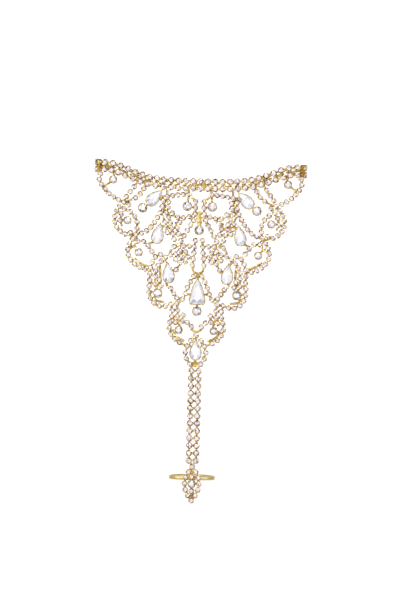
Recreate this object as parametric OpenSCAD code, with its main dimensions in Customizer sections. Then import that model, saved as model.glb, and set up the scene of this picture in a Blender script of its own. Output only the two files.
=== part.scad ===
// Hand chain bracelet: a wrist loop faced with two rows of set stones, a pierced lace of
// set stones over the back of the hand, a strap of the same chain down the middle finger,
// and a finger ring with a pointed oval cluster.
// The front lies flat in a plane that faces -Y. X is across the hand and Z is up the arm.
// The origin is the centre of the wrist opening.

/* [Wrist loop] */
// Width of the soldered flat front
front_w = 85.9; // [76:0.1:96]
// Depth of the loop, front to back
loop_depth = 16; // [12:0.5:30]
// Radius of the turn at each side of the loop
side_r = 2.8; // [2.4:0.1:4]
// How far the loop rises from the middle of the front to its sides
side_rise = 7.2; // [4:0.1:12]

/* [Two-row chain] */
// Distance between the stones along the chain
chain_pitch = 3.18; // [3.1:0.02:3.6]
// Distance between its two rows
row_gap = 3.1; // [3:0.05:3.4]
// Outer diameter of its cups
cup_d = 2.8; // [2.5:0.05:2.9]
// Height of its cups
cup_h = 1.5; // [1.2:0.1:2]

/* [Lace] */
// Drop of the lace below the middle of the wrist band
lace_drop = 75.25; // [68:0.25:84]
// Distance between the small stones along a strand
fine_pitch = 2.52; // [2.48:0.02:2.8]
// Outer diameter of the small cups
fine_cup_d = 2.42; // [2.2:0.02:2.46]
// Height of the small cups
fine_cup_h = 1.3; // [1.1:0.1:1.8]
// Wall of every cup
cup_wall = 0.16; // [0.12:0.02:0.24]
// Thickness of the floors and of the bare wires
floor_t = 0.45; // [0.4:0.05:0.7]
// Width of the wire that joins the cups
link_w = 0.8; // [0.6:0.05:1.2]
// Height of the wire that joins the cups
link_h = 0.9; // [0.6:0.05:1]
// Width of the bare gold wires
wire_w = 1; // [0.7:0.05:1.4]

/* [Large stones] */
// Length of the teardrop stones
drop_l = 8.4; // [7.4:0.1:9]
// Width of the teardrop stones
drop_w = 4.7; // [4:0.1:5]
// Length of the flat-footed centre drop
centre_drop_l = 10.6; // [9.6:0.1:11]
// Width of the flat-footed centre drop
centre_drop_w = 6.4; // [5.6:0.1:6.8]
// Diameter of the larger round stones
large_round_d = 3.5; // [3:0.05:3.7]
// Diameter of the smaller round stones
round_d = 2.9; // [2.5:0.05:3.1]
// Wall of the bezels of the large stones
bezel_wall = 0.26; // [0.2:0.02:0.34]
// Height of the bezels of the large stones
bezel_h = 1.9; // [1.6:0.1:2.4]

/* [Stones] */
// Gap between a stone and its cup
stone_gap = 0.1; // [0.1:0.01:0.14]
// How far below the rim of its cup a stone's widest part lies
rim_drop = 0.15; // [0.1:0.05:0.25]
// Height of a stone above its widest part, as a share of its width
crown_share = 0.2; // [0.14:0.01:0.26]
// Width of a stone's flat top, as a share of its width
table_share = 0.55; // [0.4:0.01:0.7]

/* [Hand strap] */
// Length of the strap
strap_l = 41.3; // [34:0.1:48]
// Gap between the strap and what it hangs between
strap_gap = 0.15; // [0.1:0.05:0.3]

/* [Finger ring] */
// Inner diameter of the finger band
ring_d = 18.2; // [15:0.1:21]
// Height of the finger band
ring_w = 2; // [1.4:0.1:3]
// Thickness of the finger band
ring_t = 0.9; // [0.7:0.1:1.4]
// Length of the pointed oval cluster
cluster_l = 16.9; // [15:0.1:19]
// Width of the pointed oval cluster
cluster_w = 8.6; // [8.4:0.1:10]
// How far the finger band lies above the middle of the cluster
band_above = 2.5; // [0:0.1:4]

/* [Back chain] */
// Length of a link
link_l = 5.2; // [4.2:0.1:6]
// Width of a link
link_out_w = 3.2; // [2.8:0.1:4]
// Diameter of a link's wire
link_wire_d = 0.8; // [0.5:0.05:0.9]
// Least play where two links meet
link_play = 0.15; // [0.1:0.05:0.3]
// Diameter of the end loops
eye_d = 3.2; // [2.8:0.1:4]
// Length of the clasp
clasp_l = 10; // [8:0.5:14]
// Width of the clasp
clasp_w = 4; // [3.4:0.1:5]
// Thickness of the clasp
clasp_t = 0.9; // [0.6:0.1:1.1]

/* [Hidden] */
$fn = 24;
GOLD = [0.86, 0.7, 0.4];
CRYSTAL = [0.9, 0.9, 0.95];

// The lace is drawn on a chart, to the right of the middle line. A place is [across, down]
// in squares: 100 squares reach half the width of the flat front, and 175 reach its drop.
// Places above the middle of the band are negative, and 18.84 squares reach the band's rise.
chart_across = 100;
chart_down = 175;
chart_up = 18.84;
function at(place) = [place[0] * front_w / 2 / chart_across,
    -place[1] * (place[1] < 0 ? side_rise / chart_up : lace_drop / chart_down)];

// Strands of small cups: name, 1 where a cup sits on the first and the last point or 0 where
// the strand meets another piece there, 1 where the model shows the stones, and the route.
STRANDS = [
    ["collar", 1, 1, 0, [[11.5, 9.5], [22, 10.5], [33, 12.5]]],
    ["wing edge", 0, 0, 1, [[97, -14.5], [101.5, -7.5], [100.5, 0], [94.5, 8], [86.5, 14.5], [76.5, 19.5]]],
    ["wing rib", 0, 0, 0, [[63, -2], [68, 6], [73.5, 13], [76.5, 19.5]]],
    ["wing brace", 0, 1, 0, [[54.5, -1], [57, 6], [61.5, 12], [68, 16.5], [76.5, 19.5]]],
    ["shoulder left", 0, 1, 0, [[33, 12.5], [31.3, 19.5], [33.5, 28.5]]],
    ["shoulder right", 0, 0, 0, [[37.5, 11], [37.2, 20], [39.3, 28.5]]],
    ["middle scroll edge", 1, 0, 1, [[63.3, 51.5], [67.3, 57], [70.7, 64.5], [70.5, 71.5], [66.3, 78.5],
        [59, 84], [47.9, 87]]],
    ["upper scroll edge", 0, 0, 1, [[76.5, 19.5], [82, 26], [85, 34.5], [83.5, 43], [77.5, 49.5],
        [70, 52.5], [63.3, 51.5]]],
    ["upper scroll second", 1, 1, 0, [[75.3, 26], [78.5, 31.5], [79.3, 38], [77.3, 43.5]]],
    ["upper scroll inside", 0, 0, 0, [[75.3, 26], [70, 28.5], [65.5, 32.5], [62.3, 39], [62.3, 46],
        [63.3, 51.5]]],
    ["spray near", 1, 1, 0, [[39.3, 28.5], [35.3, 34.5], [34, 41.5], [31.8, 48.5]]],
    ["spray middle", 0, 1, 0, [[33.5, 28.5], [29.8, 35.5], [28.2, 42.5], [26.3, 49.5], [24.8, 55]]],
    ["spray far", 1, 1, 0, [[24, 37.5], [22.3, 43.5], [20.6, 49.5]]],
    ["middle drop edge", 0, 0, 0, [[39.3, 28.5], [44, 37], [49, 44], [55, 48.7], [63.3, 51.5]]],
    ["collar swag", 0, 0, 0, [[4.6, 29.5], [10, 31.8], [18.5, 33.5], [26, 31.5], [33.5, 28.5]]],
    ["centre V", 1, 1, 0, [[4.3, 16.7], [4.3, 23], [4.6, 29.5], [7, 36.5], [10.5, 43.5], [14.5, 50],
        [18, 56.3]]],
    ["V foot", 0, 1, 0, [[18, 56.3], [17.3, 61]]],
    ["bar end", 1, 1, 0, [[24.8, 62.3], [27.8, 66]]],
    ["middle scroll second", 1, 1, 0, [[61.7, 57.7], [65, 63]]],
    ["middle scroll inside", 0, 0, 0, [[61.7, 57.7], [56.3, 57.7], [51.8, 61], [47.3, 67], [43, 73]]],
    ["lower scroll edge", 1, 1, 1, [[43, 73], [46.3, 79.5], [47.9, 87], [48, 98], [48.6, 106],
        [47, 114], [42, 120.3], [34.5, 122.7], [26, 120]]],
    ["lower scroll second", 0, 1, 0, [[22.6, 69.5], [29.2, 71.3], [34.8, 74.7], [39, 80], [42, 86],
        [42.3, 92.5]]],
    ["lower scroll lone", 1, 1, 0, [[42.3, 100.3], [42.8, 95]]],
    ["lower drop edge", 1, 1, 0, [[18.3, 79.8], [21.8, 85.3]]],
    ["lower scroll inside", 0, 1, 0, [[31.5, 101], [27, 104], [23.7, 109], [21, 113.3], [14.7, 114.5]]],
    ["centre drop edge", 1, 1, 0, [[4, 91.5], [7.6, 97.5], [10.3, 103.5], [12, 109]]],
    ["centre pair", 1, 1, 0, [[3.5, 55.5], [4.3, 64], [4.9, 72.3], [5.7, 80.3]]],
    ["end scroll edge", 0, 0, 1, [[26, 120], [24.7, 126], [25, 132.5], [26.8, 139], [26.8, 146],
        [23.7, 152.5], [17.5, 157.5], [10.7, 160.5]]],
    ["end scroll second", 1, 1, 0, [[20.3, 119.5], [19.2, 126], [19.4, 132]]],
    ["end scroll inside", 0, 1, 0, [[25, 133.5], [17.5, 137], [11, 136.5], [5, 141.7]]],
    ["end drop edge", 1, 1, 0, [[5.2, 155.8], [8.7, 161.3], [10.3, 167.5], [9, 173.8], [5.4, 179]]],
];

// Cups by themselves on the middle line.
LONE_CUPS = [[0, 150.3]];

// The rosette: a cup of the two-row chain with small cups round it.
ROSETTE = [16.9, 72.3];
rosette_cups = 7;
rosette_r = (cup_d + fine_cup_d) / 2 + stone_gap;

// Bare gold wires: name, width as a share of the wire's, and the route.
WIRES = [
    ["collar start", 1, [[4.3, 16.7], [11.5, 9.5]]],
    ["collar ties", 1, [[11, 4], [11.5, 9.5]]],
    ["shoulder tie", 1.2, [[33, 3], [33, 12.5]]],
    ["collar round stem", 1, [[11.5, 9.5], [12.5, 21.6]]],
    ["collar round tie", 1, [[4.3, 22.5], [12.5, 21.6]]],
    ["wing round stem", 1, [[87.5, -13], [87.5, -3.3], [98, 4.3]]],
    ["shoulder gold", 1.3, [[35, 11], [34.6, 20], [36.3, 29]]],
    ["shoulder round tie", 1, [[51, 19.3], [57.2, 24.4]]],
    ["upper drop tie", 1, [[37.4, 15], [45.5, 13.9]]],
    ["upper scroll round tie", 1, [[72, 37.5], [79.3, 37]]],
    ["upper scroll brace", 1, [[75.3, 26], [79.5, 23]]],
    ["middle drop foot", 1, [[42.5, 57], [51.8, 61]]],
    ["spray tie", 1, [[22.3, 43.5], [34, 41.5], [40, 44]]],
    ["spray foot", 1, [[20.6, 49.5], [26.3, 49.5], [31.8, 48.5]]],
    ["gold bar", 1.6, [[25.3, 54], [19.7, 62.3]]],
    ["bar tie", 1, [[20, 62], [24.8, 62.3]]],
    ["bar end tie", 1, [[27.8, 66], [29.2, 71.3]]],
    ["middle scroll round tie", 1, [[59.8, 69], [65, 63], [70.6, 67.5]]],
    ["middle scroll tie", 1, [[63.3, 51.5], [61.7, 57.7]]],
    ["middle scroll gold", 1.2, [[64, 75.5], [57, 80.5], [49, 83]]],
    ["lower drop tie", 1, [[34.8, 74.7], [30, 82]]],
    ["lower drop foot", 1, [[29, 95], [31.5, 101]]],
    ["lower drop gold", 1.6, [[38.5, 81], [37.7, 88], [37.8, 95], [39.5, 101]]],
    ["lower scroll round tie", 1, [[42.3, 100.3], [39.7, 109.3], [48.6, 107]]],
    ["lower scroll tie", 1, [[42.3, 100.3], [48, 99]]],
    ["lower scroll gold", 1.3, [[44.5, 112.5], [40.5, 116.8], [33, 118]]],
    ["lower drop side", 1, [[21.8, 85.3], [27, 88]]],
    ["rosette tie", 1, [[16.9, 72.3], [4.9, 72.3]]],
    ["rosette stem", 1, [[16.9, 72.3], [17.3, 61]]],
    ["rosette foot", 1, [[16.9, 72.3], [18.3, 79.8]]],
    ["centre drop tie", 1, [[12, 109], [14.7, 114.5], [20.3, 119.5], [26, 120]]],
    ["centre drop stay", 1, [[12, 109], [5, 110]]],
    ["centre drop arch", 1.6, [[5.7, 80.3], [4.5, 86.5], [0, 88.7], [-4.5, 86.5], [-5.7, 80.3]]],
    ["centre drop peak", 1, [[0, 88.7], [0, 98]]],
    ["low centre tie", 1.6, [[0, 118], [0, 126]]],
    ["end scroll tie", 1, [[19.4, 132], [17.5, 137]]],
    ["end scroll round tie", 1, [[17.5, 137], [17.5, 145.5], [26.8, 146]]],
    ["end scroll gold", 1.3, [[23.5, 147.5], [19.3, 152.5], [11.5, 156.5]]],
    ["chevron", 1.5, [[-5, 141.7], [-5.3, 144], [0, 147.6], [5.3, 144], [5, 141.7]]],
    ["end drop peak", 1, [[0, 147.6], [0, 158]]],
    ["end drop ties", 1, [[-5.2, 155.8], [0, 150.3], [5.2, 155.8]]],
    ["end drop gold", 1.6, [[5, 160.3], [8.7, 161.3], [10.7, 160.5]]],
    ["end drop foot", 1, [[0, 172], [0, 180]]],
];

// The lace is soldered up in two tiers, which meet on this line across the chart.
TIER_LINE = [[0, 52], [7, 53.5], [13, 62.5], [20, 64.5], [26, 68.6], [38, 69.5], [44.2, 70.3],
    [48.2, 79], [49.2, 92], [106, 92]];

// Gold plates: name, and the outline.
PLATES = [
    ["centre plate", [[0, 25], [5, 29.5], [2.6, 35], [2, 41], [-2, 41], [-2.6, 35], [-5, 29.5]]],
    ["end plate", [[-6.5, 178.5], [0, 176], [6.5, 178.5], [4, 181.5], [0, 182.5], [-4, 181.5]]],
];

// Large stones in pairs: name, middle, turn of the tip to the left in degrees, and kind.
PAIRS = [
    ["upper_drop", [45.5, 13.9], 45, "drop"],
    ["middle_drop", [40.9, 49.8], 11, "drop"],
    ["lower_drop", [29.5, 88.8], -5, "drop"],
    ["wing_round", [87.5, -3.3], 0, "round"],
    ["shoulder_round", [57.2, 24.4], 0, "large"],
    ["collar_round", [12.6, 21.6], 0, "large"],
    ["upper_scroll_round", [72, 37.3], 0, "round"],
    ["middle_scroll_round", [59.8, 69], 0, "round"],
    ["lower_scroll_round", [39.7, 109.3], 0, "large"],
    ["end_scroll_round", [17.5, 145.5], 0, "round"],
];
// Large stones on the middle line.
SINGLES = [
    ["centre_round", [0, 45.3], 0, "large"],
    ["centre_drop", [0, 106.8], 0, "centre"],
    ["low_centre_round", [0, 126.2], 0, "large"],
    ["end_drop", [0, 165], 0, "drop"],
];
// Half the outline of the centre drop, from its tip: shares of its width and its length.
CENTRE_HALF = [[0, 0.5], [0.16, 0.36], [0.3, 0.17], [0.41, -0.06], [0.5, -0.34], [0.48, -0.46],
    [0.4, -0.5], [0, -0.5]];

LARGE = concat(
    [for (s = PAIRS) [str(s[0], "_left"), [-s[1][0], s[1][1]], -s[2], s[3]]],
    [for (s = PAIRS) [str(s[0], "_right"), s[1], s[2], s[3]]],
    SINGLES);

// Outlines of the large stones, clockwise from the tip, and what a bezel adds round them.
drop_sides = 24;
round_sides = 16;
drop_bulge = 0.7698; // the largest value of sin(t) * sin(t / 2)
function drop_outline() = [for (i = [0 : drop_sides - 1]) let (t = i * 360 / drop_sides)
    [drop_w / 2 * sin(t) * sin(t / 2) / drop_bulge, drop_l / 2 * cos(t)]];
function centre_outline() = let (half = [for (p = CENTRE_HALF) [p[0] * centre_drop_w, p[1] * centre_drop_l]])
    concat(half, [for (i = [len(half) - 2 : -1 : 1]) [-half[i][0], half[i][1]]]);
function round_outline(d) = [for (i = [0 : round_sides - 1])
    let (t = i * 360 / round_sides) d / 2 * [sin(t), cos(t)]];
function stone_d(kind) = kind == "large" ? large_round_d : round_d;
function outline(kind) = kind == "drop" ? drop_outline() : kind == "centre" ? centre_outline()
    : round_outline(stone_d(kind));
function unit(v) = v / norm(v);
function left_of(v) = [-v[1], v[0]];
function grown(points, by) = [for (i = [0 : len(points) - 1])
    let (n = len(points), before = left_of(unit(points[i] - points[(i + n - 1) % n])),
         after = left_of(unit(points[(i + 1) % n] - points[i])))
    points[i] + by * (before + after) / (1 + before * after)];

// A smooth curve through the points of a route, and even steps along it.
curve_steps = 6;
function through(p, q, r, s, t) = 0.5 * (2 * q + (r - p) * t + (2 * p - 5 * q + 4 * r - s) * t * t
    + (3 * q - p - 3 * r + s) * t * t * t);
function curve(points) = let (n = len(points)) concat(
    [for (i = [0 : n - 2]) for (k = [0 : curve_steps - 1])
        through(points[max(i - 1, 0)], points[i], points[i + 1], points[min(i + 2, n - 1)], k / curve_steps)],
    [points[n - 1]]);
function lengths(points) = [for (i = 0, s = 0; i < len(points);
    s = s + (i + 1 < len(points) ? norm(points[i + 1] - points[i]) : 0), i = i + 1) s];
function along(points, share) = let (s = lengths(points), want = share * s[len(s) - 1])
    [for (axis = [0, 1]) lookup(want, [for (i = [0 : len(points) - 1]) [s[i], points[i][axis]]])];
function steps_of(points, pitch) = let (s = lengths(points)) max(1, round(s[len(s) - 1] / pitch));
function stations(points, pitch) = let (n = steps_of(points, pitch)) [for (k = [0 : n]) along(points, k / n)];
function route(strand) = stations(curve([for (p = strand[4]) at(p)]), fine_pitch);
function seats(strand) =
    let (all = route(strand), n = len(all)) [for (k = [1 - strand[1] : n - 2 + strand[2]]) all[k]];
function mirrored(places) = concat(places, [for (p = places) [-p[0], p[1]]]);

// A strip of even width along a line of points.
function strip(points, width) = let (n = len(points),
    side = [for (i = [0 : n - 1])
        width / 2 * left_of(unit(points[min(i + 1, n - 1)] - points[max(i - 1, 0)]))])
    concat([for (i = [0 : n - 1]) points[i] + side[i]], [for (i = [n - 1 : -1 : 0]) points[i] - side[i]]);

// Places of the cups. The columns of the two-row chain stand square to its line.
columns = 2 * floor((front_w / chain_pitch - 1) / 2) + 1;
pitch = front_w / columns;
flat_half = (columns - 1) / 2 * pitch;
function rise(s) = side_rise * (1 - cos(180 * pow(min(abs(s) / flat_half, 1), 2))) / 2;
slope_step = 0.1;
function slope(s) = atan((rise(s + slope_step) - rise(s - slope_step)) / (2 * slope_step));
function column(s, row) = [s, rise(s)] + row * row_gap / 2 * [-sin(slope(s)), cos(slope(s))];
band_seats = [for (k = [-(columns - 1) / 2 : (columns - 1) / 2]) for (row = [-1, 1]) column(k * pitch, row)];
around_rosette = [for (k = [0 : rosette_cups - 1])
    at(ROSETTE) + rosette_r * [cos(180 + k * 360 / rosette_cups), sin(180 + k * 360 / rosette_cups)]];
rosette_middles = mirrored([at(ROSETTE)]);
least_apart = 0.94 * fine_cup_d;
function spread(places, kept) = [for (i = 0, all = kept; i <= len(places);
    all = i < len(places) && min([for (q = all) norm(places[i] - q)]) >= least_apart
        ? concat(all, [places[i]]) : all,
    i = i + 1) if (i == len(places)) all][0];
lone_seats = [for (p = LONE_CUPS) at(p)];
shown_half = spread([for (s = STRANDS) if (s[3] == 1) for (p = seats(s)) p], lone_seats);
fine_half = spread(concat(around_rosette, [for (s = STRANDS) if (s[3] == 0) for (p = seats(s)) p]),
    shown_half);
function both(places) =
    concat(lone_seats, mirrored([for (i = [len(lone_seats) : 1 : len(places) - 1]) places[i]]));
shown_seats = both(shown_half);
fine_seats = both(fine_half);

// The strap hangs below the foot of the lace, and the cluster below the strap.
foot = at(PLATES[1][1][4])[1];
strap_rows = max(2, round(strap_l / chain_pitch));
strap_pitch = (strap_l - cup_d) / (strap_rows - 1);
strap_top = foot - strap_gap - cup_d / 2;
strap_seats = [for (k = [0 : strap_rows - 1]) for (side = [-1, 1])
    [side * row_gap / 2, strap_top - k * strap_pitch]];
cluster_middle = foot - 2 * strap_gap - strap_l - cluster_l / 2;
cluster_reach = (cluster_l - fine_cup_d) / 2;
cluster_side = (cluster_w - fine_cup_d) / 2;
function cluster_edge(side) = stations(
    [for (t = [-1 : 0.05 : 1]) [side * cluster_side * (1 - t * t), cluster_middle + t * cluster_reach]],
        fine_pitch);
bezel_r = round_d / 2 + stone_gap + bezel_wall;
cluster_inner = bezel_r + fine_cup_d / 2 + stone_gap / 2;
cluster_seats = concat(cluster_edge(1), [for (k = [1 : len(cluster_edge(-1)) - 2]) cluster_edge(-1)[k]],
    [for (side = [-1, 1]) [0, cluster_middle + side * cluster_inner]]);

// The plan of the wrist loop: flat front, a tight turn, and one wide arc behind. A place on it
// is found from its distance from the middle of the front: [x, y, heading].
back_r = (pow(flat_half, 2) + pow(loop_depth - side_r, 2) - pow(side_r, 2)) / (2 * (loop_depth - 2 * side_r));
back_half_angle = asin(flat_half / (back_r - side_r));
turn = 180 - back_half_angle;
turn_l = side_r * turn * PI / 180;
half_loop = flat_half + turn_l + back_r * back_half_angle * PI / 180;
back_y = loop_depth / 2 - back_r;
function loop_at(s) =
    s > half_loop ? let (p = loop_at(2 * half_loop - s)) [-p[0], p[1], 360 - p[2]] :
    s <= flat_half ? [s, -loop_depth / 2, 0] :
    s <= flat_half + turn_l ? let (a = (s - flat_half) / side_r * 180 / PI)
        [flat_half + side_r * sin(a), side_r * (1 - cos(a)) - loop_depth / 2, a] :
    let (a = (half_loop - s) / back_r * 180 / PI) [back_r * sin(a), back_y + back_r * cos(a), 180 - a];

// The back dips as the front does, so its height follows from its place across.
function height_at(s) = rise(loop_at(s)[0]);
function climb(s) = atan((height_at(s + slope_step) - height_at(s - slope_step)) / (2 * slope_step));
module front() { translate([0, -loop_depth / 2, 0]) rotate([90, 0, 0]) children(); }
module on_loop(s) {
    p = loop_at(s);
    translate([p[0], p[1], height_at(s)]) rotate([0, 0, p[2]]) rotate([90, 0, 0])
        rotate([0, 0, climb(s)]) children();
}
module both_sides() { children(); mirror([1, 0, 0]) children(); }
module discs(places, d) { for (p = places) translate(p) circle(d = d); }
module pockets(places, d, h) {
    for (p = places) translate([p[0], p[1], floor_t]) cylinder(d = d - 2 * cup_wall, h = h);
}

// The widest part of each stone is its outline. Its flat top and its point are worked from it.
module cut_stone(points, crown, depth) {
    n = len(points);
    half = n / 2;
    mid_share = (1 + table_share) / 2;
    ledge = 0.12;
    vertices = concat(
        [for (i = [0 : half - 1]) [table_share * points[2 * i][0], table_share * points[2 * i][1], crown]],
        [for (i = [0 : half - 1])
            [mid_share * points[2 * i + 1][0], mid_share * points[2 * i + 1][1], crown * 0.6]],
        [for (p = points) [p[0], p[1], 0]],
        [for (p = points) [p[0], p[1], -ledge]],
        [[0, 0, -depth]]);
    rim = 2 * half;
    low = rim + n;
    tip = low + n;
    polyhedron(vertices, concat(
        [[for (i = [0 : half - 1]) i]],
        [for (i = [0 : half - 1]) [i, half + i, (i + 1) % half]],
        [for (i = [0 : half - 1]) [i, rim + 2 * i, half + i]],
        [for (i = [0 : half - 1]) [i, half + (i + half - 1) % half, rim + 2 * i]],
        [for (i = [0 : half - 1]) [half + i, rim + 2 * i, rim + 2 * i + 1]],
        [for (i = [0 : half - 1]) [half + i, rim + 2 * i + 1, rim + (2 * i + 2) % n]],
        [for (i = [0 : n - 1]) [rim + i, low + i, low + (i + 1) % n]],
        [for (i = [0 : n - 1]) [rim + i, low + (i + 1) % n, rim + (i + 1) % n]],
        [for (i = [0 : n - 1]) [low + i, tip, low + (i + 1) % n]]));
}

// A small stone of eight facets round its flat top.
small_sides = 8;
module small_stone(cup, h) {
    d = cup - 2 * (cup_wall + stone_gap);
    ring = [for (i = [0 : small_sides - 1]) let (t = i * 360 / small_sides) d / 2 * [sin(t), cos(t)]];
    crown = crown_share * d;
    depth = h - rim_drop - floor_t - stone_gap;
    translate([0, 0, h - rim_drop]) polyhedron(
        concat([for (p = ring) [table_share * p[0], table_share * p[1], crown]],
            [for (p = ring) [p[0], p[1], 0]], [[0, 0, -depth]]),
        concat([[for (i = [0 : small_sides - 1]) i]],
            [for (i = [0 : small_sides - 1])
                [i, small_sides + i, small_sides + (i + 1) % small_sides, (i + 1) % small_sides]],
            [for (i = [0 : small_sides - 1])
                [small_sides + i, 2 * small_sides, small_sides + (i + 1) % small_sides]]));
}
module small_stones(places, cup, h) { for (p = places) translate([p[0], p[1], 0]) small_stone(cup, h); }

module large_stone(s) {
    points = outline(s[3]);
    width = 2 * max([for (p = points) p[0]]);
    color(CRYSTAL) front() translate(concat(at(s[1]), [bezel_h - rim_drop])) rotate([0, 0, s[2]])
        cut_stone(points, crown_share * width, bezel_h - rim_drop - floor_t - stone_gap);
}

// The bezels are outlines grown by a gap and a wall.
module bezels(stones, by) {
    for (s = stones) translate(at(s[1])) rotate([0, 0, s[2]])
        if (s[3] == "round" || s[3] == "large") circle(d = stone_d(s[3]) + 2 * by);
        else polygon(grown(outline(s[3]), by));
}

module band_links() {
    for (row = [-1, 1])
        polygon(strip([for (k = [-(columns - 1) / 2 : (columns - 1) / 2]) column(k * pitch, row)], link_w));
    for (k = [-(columns - 1) / 2 : (columns - 1) / 2])
        polygon(strip([column(k * pitch, -1), column(k * pitch, 1)], link_w));
}

module lace_links() {
    both_sides() for (s = STRANDS) polygon(strip(route(s), link_w));
    both_sides() for (p = around_rosette) polygon(strip([at(ROSETTE), p], link_w));
}

module wires_2d() {
    both_sides() for (w = WIRES) if (w[2][0][0] >= 0)
        polygon(strip(curve([for (p = w[2]) at(p)]), w[1] * wire_w));
    for (w = WIRES) if (w[2][0][0] < 0) polygon(strip(curve([for (p = w[2]) at(p)]), w[1] * wire_w));
    for (p = PLATES) polygon([for (q = p[1]) at(q)]);
}

module wrist_band() {
    color(GOLD) front() difference() {
        union() {
            linear_extrude(cup_h) discs(band_seats, cup_d);
            linear_extrude(link_h) band_links();
        }
        pockets(band_seats, cup_d, cup_h);
    }
}

// What lies below the tier line is in the lower tier. Each cup and bezel is in one tier whole,
// and the links of the other tier stop at it, as they stop at the wrist band.
function is_low(place) = let (a = abs(place[0]) * 2 * chart_across / front_w,
    d = -place[1] * chart_down / lace_drop)
    d > lookup(a, TIER_LINE);
function in_tier(places, low) = [for (p = places) if (is_low(p) == low) p];
function stones_in_tier(low) = [for (s = LARGE) if (is_low(at(s[1])) == low) s];
chart_end = chart_down * 1.2;
module tier_zone(low) {
    far = low ? chart_end : -chart_end;
    last = TIER_LINE[len(TIER_LINE) - 1][0];
    polygon([for (p = concat(
        [for (i = [len(TIER_LINE) - 1 : -1 : 0]) [-TIER_LINE[i][0], TIER_LINE[i][1]]],
        [for (i = [1 : len(TIER_LINE) - 1]) TIER_LINE[i]],
        [[last, far], [-last, far]])) at(p)]);
}
module band_zone() {
    line = [for (k = [-(columns - 1) / 2 : (columns - 1) / 2]) column(k * pitch, -1)];
    last = line[columns - 1];
    polygon(concat([[-front_w, last[1]]], line, [[front_w, last[1]], [front_w, front_w],
        [-front_w, front_w]]));
}
module beside_band() {
    difference() {
        children();
        band_zone();
        discs(band_seats, cup_d);
        band_links();
    }
}
module beside(low) {
    beside_band() difference() {
        intersection() {
            children();
            tier_zone(low);
        }
        discs(in_tier(fine_seats, !low), fine_cup_d);
        discs(in_tier(rosette_middles, !low), cup_d);
        bezels(stones_in_tier(!low), stone_gap + bezel_wall);
    }
}
module lace_tier(low) {
    cups = in_tier(fine_seats, low);
    middles = in_tier(rosette_middles, low);
    stones = stones_in_tier(low);
    color(GOLD) front() difference() {
        union() {
            linear_extrude(fine_cup_h) {
                discs(cups, fine_cup_d);
                discs(middles, cup_d);
            }
            linear_extrude(link_h) beside(low) lace_links();
            linear_extrude(bezel_h) beside_band() bezels(stones, stone_gap + bezel_wall);
            linear_extrude(floor_t) beside(low) wires_2d();
        }
        pockets(cups, fine_cup_d, fine_cup_h);
        pockets(middles, cup_d, fine_cup_h);
        translate([0, 0, floor_t]) linear_extrude(bezel_h) bezels(stones, stone_gap);
    }
}
module upper_lace() { lace_tier(false); }
module lower_lace() { lace_tier(true); }

// The band's last columns, which turn round the side of the wrist, with the chain's end loop.
end_columns = [flat_half + pitch, flat_half + 2 * pitch];
end_seats = [for (row = [-1, 1]) [0, row * row_gap / 2]];
first_angle = asin((cup_d / 2 + strap_gap) / side_r);
eye_at = max(flat_half + turn_l, end_columns[1] + cup_d / 2) + eye_d / 2;
eye_tab = eye_at - flat_half - turn_l + 0.4;
eye_t = min(clasp_t, link_out_w - 2 * link_wire_d - 2 * link_play);
eye_hole_d = link_wire_d + 3 * link_play;
end_bar_w = 1;
end_bar_h = row_gap + link_w + 0.4;
bar_proud = 0.12;
chain_out = eye_t / 2;
module turned_strip(row) {
    translate([flat_half, side_r - loop_depth / 2, side_rise + row * row_gap / 2])
        rotate([0, 0, first_angle - 90])
        rotate_extrude(angle = turn - first_angle) translate([side_r, -link_w / 2]) square([floor_t, link_w]);
}
module band_end() {
    difference() {
        union() {
            for (row = [-1, 1]) turned_strip(row);
            for (s = end_columns) on_loop(s) {
                linear_extrude(cup_h) discs(end_seats, cup_d);
                linear_extrude(link_h) square([link_w, row_gap], center = true);
            }
            on_loop(eye_at) {
                translate([-eye_tab, -end_bar_h / 2, -bar_proud])
                    cube([end_bar_w, end_bar_h, eye_t + bar_proud]);
                translate([0, 0, bar_proud]) linear_extrude(eye_t - 2 * bar_proud) {
                    circle(d = eye_d);
                    translate([-eye_tab + end_bar_w / 2, -eye_d / 2])
                        square([eye_tab - end_bar_w / 2, eye_d]);
                }
            }
        }
        for (s = end_columns) on_loop(s) pockets(end_seats, cup_d, cup_h);
        on_loop(eye_at) translate([0, 0, -1]) cylinder(d = eye_hole_d, h = eye_t + 2);
    }
}
module band_end_right() { color(GOLD) band_end(); }
module band_end_left() { color(GOLD) mirror([1, 0, 0]) band_end(); }

module band_stones() {
    color(CRYSTAL) {
        front() small_stones(band_seats, cup_d, cup_h);
        both_sides() for (s = end_columns) on_loop(s) small_stones(end_seats, cup_d, cup_h);
    }
}
module lace_stones() { color(CRYSTAL) front() small_stones(shown_seats, fine_cup_d, fine_cup_h); }

module hand_strap() {
    low = strap_seats[len(strap_seats) - 1][1];
    color(GOLD) front() difference() {
        union() {
            linear_extrude(cup_h) discs(strap_seats, cup_d);
            linear_extrude(link_h) {
                for (side = [-1, 1]) translate([side * row_gap / 2 - link_w / 2, low])
                    square([link_w, strap_top - low]);
                for (k = [0 : strap_rows - 1])
                    translate([-row_gap / 2, strap_top - k * strap_pitch - link_w / 2])
                        square([row_gap, link_w]);
            }
        }
        pockets(strap_seats, cup_d, cup_h);
    }
}
module strap_stones() { color(CRYSTAL) front() small_stones(strap_seats, cup_d, cup_h); }

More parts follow.
